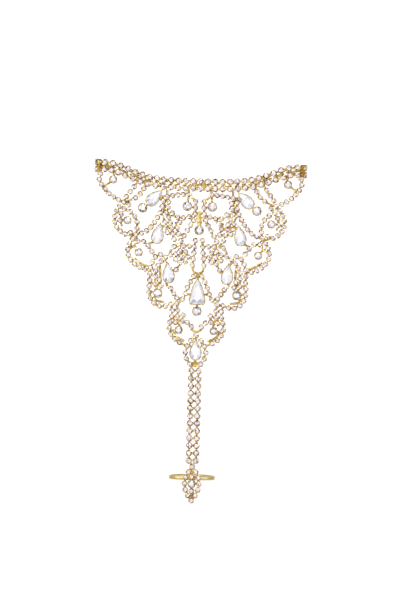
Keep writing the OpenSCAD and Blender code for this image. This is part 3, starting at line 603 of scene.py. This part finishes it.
def stone_outline(kind):
    """Half the drop is a swelling sine; the centre drop's half is a list of shares."""
    if kind == "drop":
        turns = [k * math.tau / 24 for k in range(24)]
        swell = [DROP_W / 2 * math.sin(a) * math.sin(a / 2) / SWELL_PEAK for a in turns]
        return [Vector((wide, DROP_L / 2 * math.cos(a))) for wide, a in zip(swell, turns)]
    if kind == "centre":
        half = [Vector((x * CENTRE_W, y * CENTRE_L)) for x, y in CENTRE_HALF]
        return half + [Vector((-p.x, p.y)) for p in half[-2:0:-1]]
    return circle_outline(LARGE_ROUND_D if kind == "large" else ROUND_D)


def grown(outline, by):
    """The outline moved outwards, its corners kept sharp."""
    wide = []
    for k, p in enumerate(outline):
        before = (p - outline[k - 1]).normalized()
        after = (outline[(k + 1) % len(outline)] - p).normalized()
        before, after = Vector((-before.y, before.x)), Vector((-after.y, after.x))
        wide.append(p + by * (before + after) / (1 + before.dot(after)))
    return wide


def placed(outline, middle, turn):
    """The outline turned by so many degrees and moved to its middle."""
    return [middle + Matrix.Rotation(math.radians(turn), 2) @ p for p in outline]


bezel_tree, given = new_tree("bend bezel strip", {
    "Height": "NodeSocketFloat", "Wall": "NodeSocketFloat", "Edge": "NodeSocketFloat",
    "Outward": "NodeSocketVector", "Material": "NodeSocketMaterial",
})
runs = add_node(bezel_tree, "GeometryNodeMeshToCurve", {"Mesh": given.outputs["Geometry"]})
faced = add_node(bezel_tree, "GeometryNodeSetCurveNormal", {
    "Curve": runs.outputs["Curve"], "Normal": given.outputs["Outward"],
}, mode="FREE")
strip = add_node(bezel_tree, "GeometryNodeCurvePrimitiveQuadrilateral", {
    "Width": given.outputs["Height"], "Height": given.outputs["Wall"],
})
eased = add_node(bezel_tree, "GeometryNodeFilletCurve", {
    "Curve": strip.outputs["Curve"], "Radius": given.outputs["Edge"],
})
swept = add_node(bezel_tree, "GeometryNodeCurveToMesh", {
    "Curve": faced.outputs["Curve"], "Profile Curve": eased.outputs["Curve"], "Fill Caps": True,
})
finished(bezel_tree, swept.outputs["Mesh"], given.outputs["Material"])


def set_bezels(name, stones, *nodes):
    """Strips, floors and claws for the stones, as one piece for each kind of work."""
    walls, claws = [], []
    floors = bmesh.new()
    for _, middle, turn, kind in stones:
        outline = stone_outline(kind)
        wall = placed(grown(outline, STONE_GAP + BEZEL_WALL / 2), middle, turn)
        walls.append((1.0, True, [front(p, BEZEL_H / 2) for p in wall]))
        slab(floors, placed(grown(outline, STONE_GAP + BEZEL_WALL * BED_WALL), middle, turn), BED_BACK, FLOOR)
        edge = placed(grown(outline, STONE_GAP + BEZEL_WALL), middle, turn)
        for k in CLAW_POINTS[kind]:
            heading = math.atan2(-outline[k].y, -outline[k].x) + math.radians(turn)
            claws.append(Matrix.Translation(front(edge[k])) @ face_front @ Matrix.Rotation(heading, 4, "Z"))
    values = {"Height": BEZEL_H * MM, "Wall": BEZEL_WALL * MM, "Edge": BEZEL_EDGE * MM, "Outward": OUTWARD}
    values["Material"] = plate_gold
    piece = made_by(bezel_tree, name + "_bezels", runs_mesh(name + " runs", walls), values)
    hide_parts(*nodes)
    set_out(name + "_claws", claws, bezel_claw, *nodes)
    new_piece(name + "_bezel_floors", plain_mesh(name + " floors", floors), plate_gold, "gold", *nodes)


bm = bmesh.new()
bezel_claw_bend = [
    (0.02, 0.5, 0.5, FOOT_T),
    (-0.02, BEZEL_H - 0.1, 0.5, BEND_T),
    (0.2, BEZEL_H + 0.14, 0.42, BEND_T),
    (0.62, BEZEL_H + 0.12, 0.26, TIP_T),
]
bent_claw(bm, bezel_claw_bend, Matrix())
bmesh.ops.scale(bm, vec=(MM, MM, MM), verts=bm.verts)
bezel_claw = bpy.data.objects.new("bezel claw", plain_mesh("bezel claw", bm))
set_bezels("lace", large_stones, "upper_lace", "lower_lace")


# The large stones are cut crystal with a foiled back. Each facet's colour is a painted reflection, a tone
# for the part of the room it would throw back: white, lavender and grey in the drops, and down to
# near black in the round stones. The foil's own shine over it is real.
def foiled_crystal(name, tones, foil, rough):
    """Foiled crystal whose facets take painted reflection tones by their glint, from 0 to 1."""
    material = bpy.data.materials.new(name)
    material.use_nodes = True
    tree = material.node_tree
    shader = tree.nodes["Principled BSDF"]
    glint = add_node(tree, "ShaderNodeAttribute", attribute_name="glint")
    tone = add_node(tree, "ShaderNodeValToRGB", {"Fac": glint.outputs["Fac"]})
    tone.color_ramp.interpolation = "CONSTANT"
    paint_ramp(tone.color_ramp, tones)
    tree.links.new(tone.outputs["Color"], shader.inputs["Base Color"])
    shader.inputs["Metallic"].default_value = foil
    shader.inputs["Roughness"].default_value = rough
    shader.inputs["IOR"].default_value = 1.56
    shader.inputs["Coat Weight"].default_value = 0.3
    shader.inputs["Coat Roughness"].default_value = 0.02
    return material


# The drops' facet tones are painted reflections, pale blue-grey through white to lavender.
drop_crystal = foiled_crystal("drop crystal with foil and painted glints", [
    (0.0, "A9AABF"), (0.08, "D2D8EC"), (0.22, "F2F5FC"), (0.42, "FFFFFF"), (0.9, "E6E0F6"),
], 0.15, 0.12)
# The round stones' facet tones are painted reflections, near black through grey to white and lavender.
round_crystal = foiled_crystal("round crystal with foil and painted glints", [
    (0.0, "22202A"), (0.14, "7F7D90"), (0.26, "CCC9DC"), (0.4, "FDFDFF"), (0.84, "DDD3F2"),
], 0.45, 0.1)
CROWN_SHARE, TABLE_SHARE, STAR_RISE = 0.2, 0.55, 0.63
# The least glint of the table and star facets, a painted highlight that keeps them bright.
TABLE_GLINT = 0.34


def cut_stone(outline, crown, depth, seed):
    """A brilliant cut: crown facets round a table split into a fan, whose painted glints stand for the star
    of the back facets.
    """
    n = len(outline)
    half = n // 2
    edge = half * 2
    centre, back = edge + n, edge + n + 1
    middle = (1 + TABLE_SHARE) / 2
    table = [(TABLE_SHARE * p.x, TABLE_SHARE * p.y, crown) for p in outline[::2]]
    stars = [(middle * p.x, middle * p.y, crown * STAR_RISE) for p in outline[1::2]]
    rim = [(p.x, p.y, 0) for p in outline]
    faces = []
    for i in range(half):
        after, before = (i + 1) % half, (i - 1) % half
        faces.append([i, after, centre])
        faces.append([i, after, half + i])
        faces.append([i, half + i, edge + 2 * i, half + before])
        faces.append([half + i, edge + 2 * i + 1, edge + 2 * i])
        faces.append([half + i, edge + (2 * i + 2) % n, edge + 2 * i + 1])
    faces += [[edge + i, edge + (i + 1) % n, back] for i in range(n)]
    mesh = bpy.data.meshes.new("cut stone")
    mesh.from_pydata(table + stars + rim + [(0, 0, crown), (0, 0, -depth)], [], faces)
    bm = bmesh.new()
    bm.from_mesh(mesh)
    bmesh.ops.recalc_face_normals(bm, faces=bm.faces)
    bm.to_mesh(mesh)
    bm.free()
    # Each face gets a random glint that picks its painted reflection tone. Of each five crown faces the
    # first two, of the table and its star, never go dark: a painted highlight.
    dice = random.Random(seed)
    least = [TABLE_GLINT if f < 5 * half and f % 5 < 2 else 0.0 for f in range(len(faces))]
    glints = {"least glint": least, "glint": [dice.uniform(low, 1) for low in least]}
    for name, values in glints.items():
        mesh.attributes.new(name, "FLOAT", "FACE").data.foreach_set("value", values)
    return mesh


def large_stone(name, middle, turn, kind, seed):
    """One large stone, its girdle a little below its bezel's rim."""
    outline = stone_outline(kind)
    width = 2 * max(p.x for p in outline)
    mesh = cut_stone(outline, CROWN_SHARE * width, BEZEL_H - RIM_DROP - FLOOR - STONE_GAP, seed)
    place = Matrix.Translation(front(middle, BEZEL_H - RIM_DROP)) @ face_front
    mesh.transform(place @ Matrix.Rotation(math.radians(turn), 4, "Z") @ Matrix.Scale(MM, 4))
    if kind in ("round", "large"):
        new_piece(name + "_cut", mesh, round_crystal, "crystal", name)
    else:
        new_piece(name + "_cut", mesh, drop_crystal, "drop_crystal", name)


for seed, (name, middle, turn, kind) in enumerate(large_stones):
    large_stone(name, middle, turn, kind, seed)


# The small stones are machine cut chatons, each dropped in its cup at its own turn.
# A tree sets them out and gives every facet its own glint, a random painted reflection tone that never goes
# dark on the table and its star.
SMALL_SEED = 11
STONE_TILT = math.radians(4)
STONE_TUCK = 0.08
stone_tree, given = new_tree("set out stones", {
    "Stone": "NodeSocketObject", "Seed": "NodeSocketInt", "Material": "NodeSocketMaterial",
})
aim = add_node(stone_tree, "GeometryNodeInputNamedAttribute", {"Name": "aim"}, data_type="FLOAT_VECTOR")
stone = add_node(stone_tree, "GeometryNodeObjectInfo", {
    "Object": given.outputs["Stone"], "As Instance": True,
})
rows = add_node(stone_tree, "GeometryNodeInstanceOnPoints", {
    "Points": given.outputs["Geometry"], "Instance": stone.outputs["Geometry"],
    "Rotation": aim.outputs["Attribute"],
})
spin = add_node(stone_tree, "FunctionNodeRandomValue", {
    0: (-STONE_TILT, -STONE_TILT, 0), 1: (STONE_TILT, STONE_TILT, math.tau), "Seed": given.outputs["Seed"],
}, data_type="FLOAT_VECTOR")
spun = add_node(stone_tree, "GeometryNodeRotateInstances", {
    "Instances": rows.outputs["Instances"], "Rotation": spin.outputs[0], "Local Space": True,
})
real = add_node(stone_tree, "GeometryNodeRealizeInstances", {"Geometry": spun.outputs["Instances"]})
least = add_node(stone_tree, "GeometryNodeInputNamedAttribute", {"Name": "least glint"}, data_type="FLOAT")
dice = add_node(stone_tree, "FunctionNodeRandomValue", {
    2: least.outputs["Attribute"], 3: 1.0, "Seed": given.outputs["Seed"],
}, data_type="FLOAT")
tinted = add_node(stone_tree, "GeometryNodeStoreNamedAttribute", {
    "Geometry": real.outputs["Geometry"], "Name": "glint", "Value": dice.outputs[1],
}, data_type="FLOAT", domain="FACE")
finished(stone_tree, tinted.outputs["Geometry"], given.outputs["Material"])
# The chatons' facet tones are painted reflections: near black, mauve, white and pink, lightest on the table.
chaton_crystal = foiled_crystal("chaton crystal with foil and painted glints", [
    (0.0, "0C0709"), (0.27, "5E4A50"), (0.37, "B8A2AC"), (0.45, "F4EAF0"), (0.6, "FFFFFF"),
    (0.78, "EAD4E4"), (0.9, "FCE2CE"),
], 0.5, 0.1)


def small_stone(name, cup_d, cup_h):
    """One chaton in metres, its girdle as far below the cup's rim as the claws need."""
    d = cup_d - 2 * CUP_RIM + STONE_TUCK
    mesh = cut_stone(circle_outline(d), CROWN_SHARE * d, cup_h - RIM_DROP - FLOOR - STONE_GAP, 0)
    mesh.transform(Matrix.Scale(MM, 4) @ Matrix.Translation((0, 0, cup_h - RIM_DROP)))
    mesh.attributes.remove(mesh.attributes["glint"])
    return bpy.data.objects.new(name, mesh)


def set_stones(name, frames, stone, seed, *nodes):
    """One piece of small stones at the frames."""
    values = {"Stone": stone, "Seed": seed, "Material": chaton_crystal}
    piece = made_by(stone_tree, name, seats_mesh(name + " seats", frames), values)
    if nodes:
        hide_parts(*nodes)


fine_stone = small_stone("fine chaton", FINE_CUP_D, FINE_CUP_H)
set_stones("lace_chatons", lace_frames, fine_stone, SMALL_SEED, "lace_stones")


# The rosettes have a larger chaton in their middle, in a cup of the two-row chain.
chain_cup = clawed_cup("chain cup", CUP_D + CUP_EASE, CUP_H)
rosette_cup = clawed_cup("rosette cup", CUP_D + CUP_EASE, FINE_CUP_H)
rosette_stone = small_stone("rosette chaton", CUP_D, FINE_CUP_H)
rosette_frames = front_frames(mirrored([chart(ROSETTE)]))
set_out("rosette_cups", rosette_frames, rosette_cup, "lower_lace")
set_stones("rosette_chatons", rosette_frames, rosette_stone, SMALL_SEED + 1)


# The densest patches of the pattern are packed with more cups between the strands. Each is
# pushed in as tight as it goes and soldered by short wires to its two nearest neighbours.
PACK_ROOM, PACK_REACH, PACK_STEP = 2.36, 3.3, 0.4
PACK_OFF = FINE_CUP_D / 2 + 0.1
PATCHES = [
    ("spray", (29, 39), 13),
    ("shoulder", (35, 20), 8),
    ("centre V", (8, 30), 9),
    ("upper scroll", (76, 31), 11),
    ("middle scroll", (66, 56), 9),
    ("rosette", (18, 68), 12),
    ("lower scroll top", (38, 79), 9),
    ("lower scroll", (43, 101), 11),
    ("end scroll", (22, 139), 12),
]
right_seats = all_kept + [chart(ROSETTE)]
right_bezels = [
    placed(grown(stone_outline(kind), STONE_GAP + BEZEL_WALL), middle, turn)
    for _, middle, turn, kind in large_stones
    if middle.x > -0.01
]


def off_outline(place, outline):
    """How far a place lies outside a rounded outline, or 0 inside it."""
    middle = sum(outline, Vector((0, 0))) / len(outline)
    nearest = min(outline, key=lambda p: (place - p).length)
    return (place - nearest).length if (place - middle).length > (nearest - middle).length else 0.0


def packed(seats, middle, reach):
    """New seats in a round patch within the lace's edge and off its bezels, the tightest place first."""
    count = math.ceil(reach / PACK_STEP)
    steps = range(-count, count + 1)
    tries = [middle + PACK_STEP * Vector((i, j)) for i in steps for j in steps]
    tries = [p for p in tries if (p - middle).length < reach and p.x > PACK_ROOM / 2]
    tries = [p for p in tries if all(off_outline(p, b) > PACK_OFF for b in right_bezels)]
    tries = [p for p in tries if any(q.x > p.x and abs(q.y - p.y) < FINE_CUP_D for q in right_seats)]
    found = []
    while True:
        tries = [p for p in tries if all((p - q).length >= PACK_ROOM for q in seats + found)]
        gaps = [sum(sorted((p - q).length for q in seats + found)[:2]) for p in tries]
        if not gaps or min(gaps) > 2 * PACK_REACH:
            return found
        found.append(tries[gaps.index(min(gaps))])


pack_seats = []
for _, middle, reach in PATCHES:
    pack_seats += packed(right_seats + pack_seats, chart(middle), reach * FRONT_W / CHART_ACROSS)
pack_runs = []
for place in pack_seats:
    others = [q for q in right_seats + pack_seats if q != place]
    near = sorted(others, key=lambda q: (place - q).length)[:2]
    pack_runs += [(1.0, [place, q]) for q in near]
pack_frames = front_frames(mirrored(pack_seats))
set_out("pack_cups", pack_frames, fine_cup, "upper_lace", "lower_lace")
set_wires("pack_links", both_sides(pack_runs, LINK_MID), LINK_W, LINK_OVAL, "upper_lace", "lower_lace")
set_stones("pack_chatons", pack_frames, fine_stone, SMALL_SEED + 5)


# The wrist band is two-row cup chain, bent to the dip of the wrist and soldered to the lace.
# Its last two columns turn round the side of the wrist, on strips that stay as the CAD has them.
PITCH, ROW_GAP, SIDE_R = 3.18, 3.1, 2.8
ROWS = (-1, 1)
COLUMNS = 2 * math.floor((FRONT_W / PITCH - 1) / 2) + 1
pitch = FRONT_W / COLUMNS
flat_half = (COLUMNS - 1) / 2 * pitch


def rise(s):
    """How far the band has risen at a distance from its middle."""
    return SIDE_RISE * (1 - math.cos(math.pi * min(abs(s) / flat_half, 1) ** 2)) / 2


def band_slope(s):
    """The band's slope at that distance, as an angle."""
    return math.atan2(rise(s + 0.1) - rise(s - 0.1), 0.2)


def column(s, row):
    """The seat of a column's stone in row -1 or 1, square to the band's line."""
    slope = band_slope(s)
    return Vector((s, rise(s))) + row * ROW_GAP / 2 * Vector((-math.sin(slope), math.cos(slope)))


steps = [(k - (COLUMNS - 1) / 2) * pitch for k in range(COLUMNS)]
band_frames = [
    Matrix.Translation(front(column(s, row))) @ face_front @ Matrix.Rotation(band_slope(s), 4, "Z")
    for s in steps
    for row in ROWS
]
set_out("band_cups", band_frames, chain_cup, "wrist_band")
band_runs = [front_run([column(s, row) for s in steps], LINK_MID) for row in ROWS]
band_runs += [front_run([column(s, row) for row in ROWS], LINK_MID) for s in steps]
set_wires("band_links", band_runs, LINK_W, LINK_OVAL, "wrist_band")

end_frames = []
for side in (1, -1):
    for count in (1, 2):
        heading = count * pitch / SIDE_R
        across = side * (flat_half + SIDE_R * math.sin(heading))
        behind = SIDE_R * (1 - math.cos(heading)) - LOOP_DEPTH / 2
        for row in ROWS:
            seat = Vector((across, behind, SIDE_RISE + row * ROW_GAP / 2)) * MM
            end_frames.append(Matrix.Translation(seat) @ Matrix.Rotation(side * heading, 4, "Z") @ face_front)
set_out("band_end_cups", end_frames, chain_cup)
chain_stone = small_stone("chain chaton", CUP_D, CUP_H)
set_stones("band_chatons", band_frames + end_frames, chain_stone, SMALL_SEED + 2, "band_stones")
for node in ("band_end_left", "band_end_right", "back_chain_left", "back_chain_right", "clasp"):
    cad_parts[node].data.materials.clear()
    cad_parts[node].data.materials.append(plate_gold)


# The strap down the finger is the same chain, hung by its links from the foot of the lace,
# and the ring hangs by its tip from the last two cups.
STRAP_L = 41.3
STRAP_GAP = 0.15
HOOK = 0.8
foot = chart(PLATES[1][2][4]).y
strap_rows = round(STRAP_L / PITCH)
strap_pitch = (STRAP_L - CUP_D) / (strap_rows - 1)
strap_top = foot - STRAP_GAP - CUP_D / 2
strap_seats = [
    [Vector((row * ROW_GAP / 2, strap_top - k * strap_pitch)) for row in ROWS]
    for k in range(strap_rows)
]
strap_frames = front_frames([p for pair in strap_seats for p in pair])
set_out("strap_cups", strap_frames, chain_cup, "hand_strap")
ring_hook = (0, strap_seats[-1][0].y - CUP_D / 2 - STRAP_GAP - HOOK)
strap_runs = [front_run(pair, LINK_MID) for pair in strap_seats]
strap_runs += [front_run([pair[side] for pair in strap_seats], LINK_MID) for side in (0, 1)]
for side in (0, 1):
    top, last = strap_seats[0][side], strap_seats[-1][side]
    strap_runs += [front_run([top, (top.x, foot + HOOK)], LINK_MID), front_run([last, ring_hook], LINK_MID)]
set_wires("strap_links", strap_runs, LINK_W, LINK_OVAL, "hand_strap")
set_stones("strap_chatons", strap_frames, chain_stone, SMALL_SEED + 3, "strap_stones")


# The finger ring is a plain half-round band, a yellower gold than the lace, with a pointed
# oval of small stones round one larger stone soldered to its front.
RING_D, RING_W, RING_T = 18.2, 2.0, 0.9
RING_STEPS = 128
CLUSTER_L, CLUSTER_W = 16.9, 8.6
EDGE_STEPS = 20
CLUSTER_SEED = 101
BAND_ABOVE = 2.5
yellow_gold = light_gold("yellow gold plate on a plain band", [(0.4, "FADF90"), (0.6, "FFEEAE")], 0.36)
cluster_middle = foot - 2 * STRAP_GAP - STRAP_L - CLUSTER_L / 2
ring_middle = Vector((0, -LOOP_DEPTH / 2 + RING_D / 2 + RING_T - 0.7 * FLOOR, cluster_middle + BAND_ABOVE))
bm = bmesh.new()
section = [(0, -0.5), (0.55, -0.5), (0.86, -0.36), (1, -0.12), (1, 0.12), (0.86, 0.36), (0.55, 0.5), (0, 0.5)]
rings = []
for k in range(RING_STEPS):
    a = k * math.tau / RING_STEPS
    outer = [(RING_D / 2 + t * RING_T, w * RING_W) for t, w in section]
    ring = [ring_middle + Vector((r * math.sin(a), -r * math.cos(a), up)) for r, up in outer]
    rings.append([bm.verts.new(p * MM) for p in ring])
for near, far in zip(rings, rings[1:] + rings[:1]):
    for j in range(len(section)):
        after = (j + 1) % len(section)
        bm.faces.new((near[j], far[j], far[after], near[after]))
mesh = plain_mesh("finger band", bm)
mesh.shade_smooth()
new_piece("finger_band", mesh, yellow_gold, "gold", "finger_ring")

reach = (CLUSTER_L - FINE_CUP_D) / 2
swell = (CLUSTER_W - FINE_CUP_D) / 2
shares = [k / EDGE_STEPS - 1 for k in range(2 * EDGE_STEPS + 1)]
edges = []
for side in (1, -1):
    arc = [Vector((side * swell * (1 - t * t), cluster_middle + t * reach)) for t in shares]
    edges.append(even_places(arc, FINE_PITCH))
inner_reach = ROUND_D / 2 + STONE_GAP + BEZEL_WALL + FINE_CUP_D / 2 + STONE_GAP / 2
cluster_seats = edges[0] + edges[1][1:-1] + [Vector((0, cluster_middle + row * inner_reach)) for row in ROWS]
cluster_frames = front_frames(cluster_seats)
set_out("cluster_cups", cluster_frames, fine_cup, "finger_ring")
cluster_runs = [front_run(run, LINK_MID) for run in edges]
cluster_runs.append(front_run([(0, cluster_middle + row * reach) for row in ROWS], LINK_MID))
cluster_runs.append(front_run([(row * swell, cluster_middle) for row in ROWS], LINK_H / 3, 1.6))
set_wires("cluster_links", cluster_runs, LINK_W, LINK_H * 0.6, "finger_ring")
set_bezels("cluster", [("cluster_round", Vector((0, cluster_middle)), 0, "round")], "finger_ring")
large_stone("cluster_round", Vector((0, cluster_middle)), 0, "round", CLUSTER_SEED)
set_stones("cluster_chatons", cluster_frames, fine_stone, SMALL_SEED + 4, "cluster_stones")
for pattern in (fine_cup, chain_cup, rosette_cup, bezel_claw, fine_stone, chain_stone, rosette_stone):
    bpy.data.objects.remove(pattern)


# The studio is a white paper sweep, far enough off for every view, with broad soft lights and
# two small ones for the stones. The camera has a long lens, square to the front and rolled a
# little. The room past the paper looks brighter than it lights, so that every view has a pale ground.
PAPER_HALF, PAPER_BACK, PAPER_FLOOR, PAPER_BEND = 4.0, 3.2, -2.4, 1.0
SENSOR = 36
ROOM_LIGHT, ROOM_SEEN = 0.38, 0.97
paper_white = bpy.data.materials.new("matt white paper")
paper_white.use_nodes = True
shader = paper_white.node_tree.nodes["Principled BSDF"]
shader.inputs["Base Color"].default_value = linear("F4F4F5")
shader.inputs["Roughness"].default_value = 0.9
bend = [(math.sin(math.radians(a)), math.cos(math.radians(a))) for a in range(0, 91, 10)]
sweep = [
    (PAPER_BACK - PAPER_BEND + PAPER_BEND * s, PAPER_FLOOR + PAPER_BEND - PAPER_BEND * c)
    for s, c in bend
]
sweep = [(-PAPER_HALF, PAPER_FLOOR)] + sweep + [(PAPER_BACK, PAPER_HALF)]
mesh = bpy.data.meshes.new("paper_sweep")
mesh.from_pydata(
    [(side * PAPER_HALF, y, z) for y, z in sweep for side in (-1, 1)], [],
    [(2 * k, 2 * k + 1, 2 * k + 3, 2 * k + 2) for k in range(len(sweep) - 1)],
)
mesh.shade_smooth()
paper = bpy.data.objects.new("paper_sweep", mesh)
bpy.context.scene.collection.objects.link(paper)
paper.data.materials.append(paper_white)

world = bpy.data.worlds.new("pale room")
world.use_nodes = True
room = world.node_tree
seen = add_node(room, "ShaderNodeLightPath")
bright = add_node(room, "ShaderNodeMapRange", {
    "Value": seen.outputs["Is Camera Ray"], "To Min": ROOM_LIGHT, "To Max": ROOM_SEEN,
})
room.nodes["Background"].inputs["Color"].default_value = linear("F2F3F5")
room.links.new(bright.outputs["Result"], room.nodes["Background"].inputs["Strength"])
bpy.context.scene.world = world

VIEW_AT = Vector((1.25, -9, -49.4)) * MM
LIGHTS = [
    ("front_box", (0, -2.7, 0.1), 1.3, 3.8, "FFFFFF"),
    ("left_wall", (-1.3, -0.5, 0), 1.2, 4.4, "FFFBF4"),
    ("right_wall", (1.3, -0.5, 0), 1.2, 3.6, "F4F6FF"),
    ("key_box", (-0.8, -1.3, 0.9), 0.5, 4.6, "FFF8EE"),
    ("top_box", (0, -0.5, 1.2), 0.9, 5.6, "FFFFFF"),
    ("low_box", (0, -1.2, -1.4), 0.9, 4, "FFFDF8"),
    ("spark_left", (-0.35, -1.0, -0.3), 0.06, 2, "FFFFFF"),
    ("spark_right", (0.5, -1.1, 0.35), 0.06, 2, "FFFFFF"),
    ("paper_wash", (0, 1.4, 1.4), 2.0, 66, "FFFFFF"),
]
for name, place, size, power, colour in LIGHTS:
    light = bpy.data.lights.new(name, "AREA")
    light.shape, light.size, light.energy = "SQUARE", size, power
    light.color = linear(colour)[:3]
    lamp = bpy.data.objects.new(name, light)
    bpy.context.scene.collection.objects.link(lamp)
    lamp.location = place
    aim_at = Vector((0, PAPER_BACK, -0.4)) if name == "paper_wash" else VIEW_AT
    lamp.rotation_euler = (aim_at - Vector(place)).to_track_quat("-Z", "Y").to_euler()

PHOTO_ROLL = 1.7
LENS = 300
PHOTO_TALL = 258
camera = bpy.data.objects.new("camera", bpy.data.cameras.new("camera"))
bpy.context.scene.collection.objects.link(camera)
camera.data.lens, camera.data.sensor_width = LENS, SENSOR
distance = PHOTO_TALL * MM * LENS / SENSOR
eye = Matrix.Translation(VIEW_AT + Vector((0, -distance, 0)))
camera.matrix_world = eye @ face_front @ Matrix.Rotation(math.radians(PHOTO_ROLL), 4, "Z")
camera.data.clip_start, camera.data.clip_end = 0.05, 20
bpy.context.scene.camera = camera
bpy.context.scene.view_settings.view_transform = "Standard"
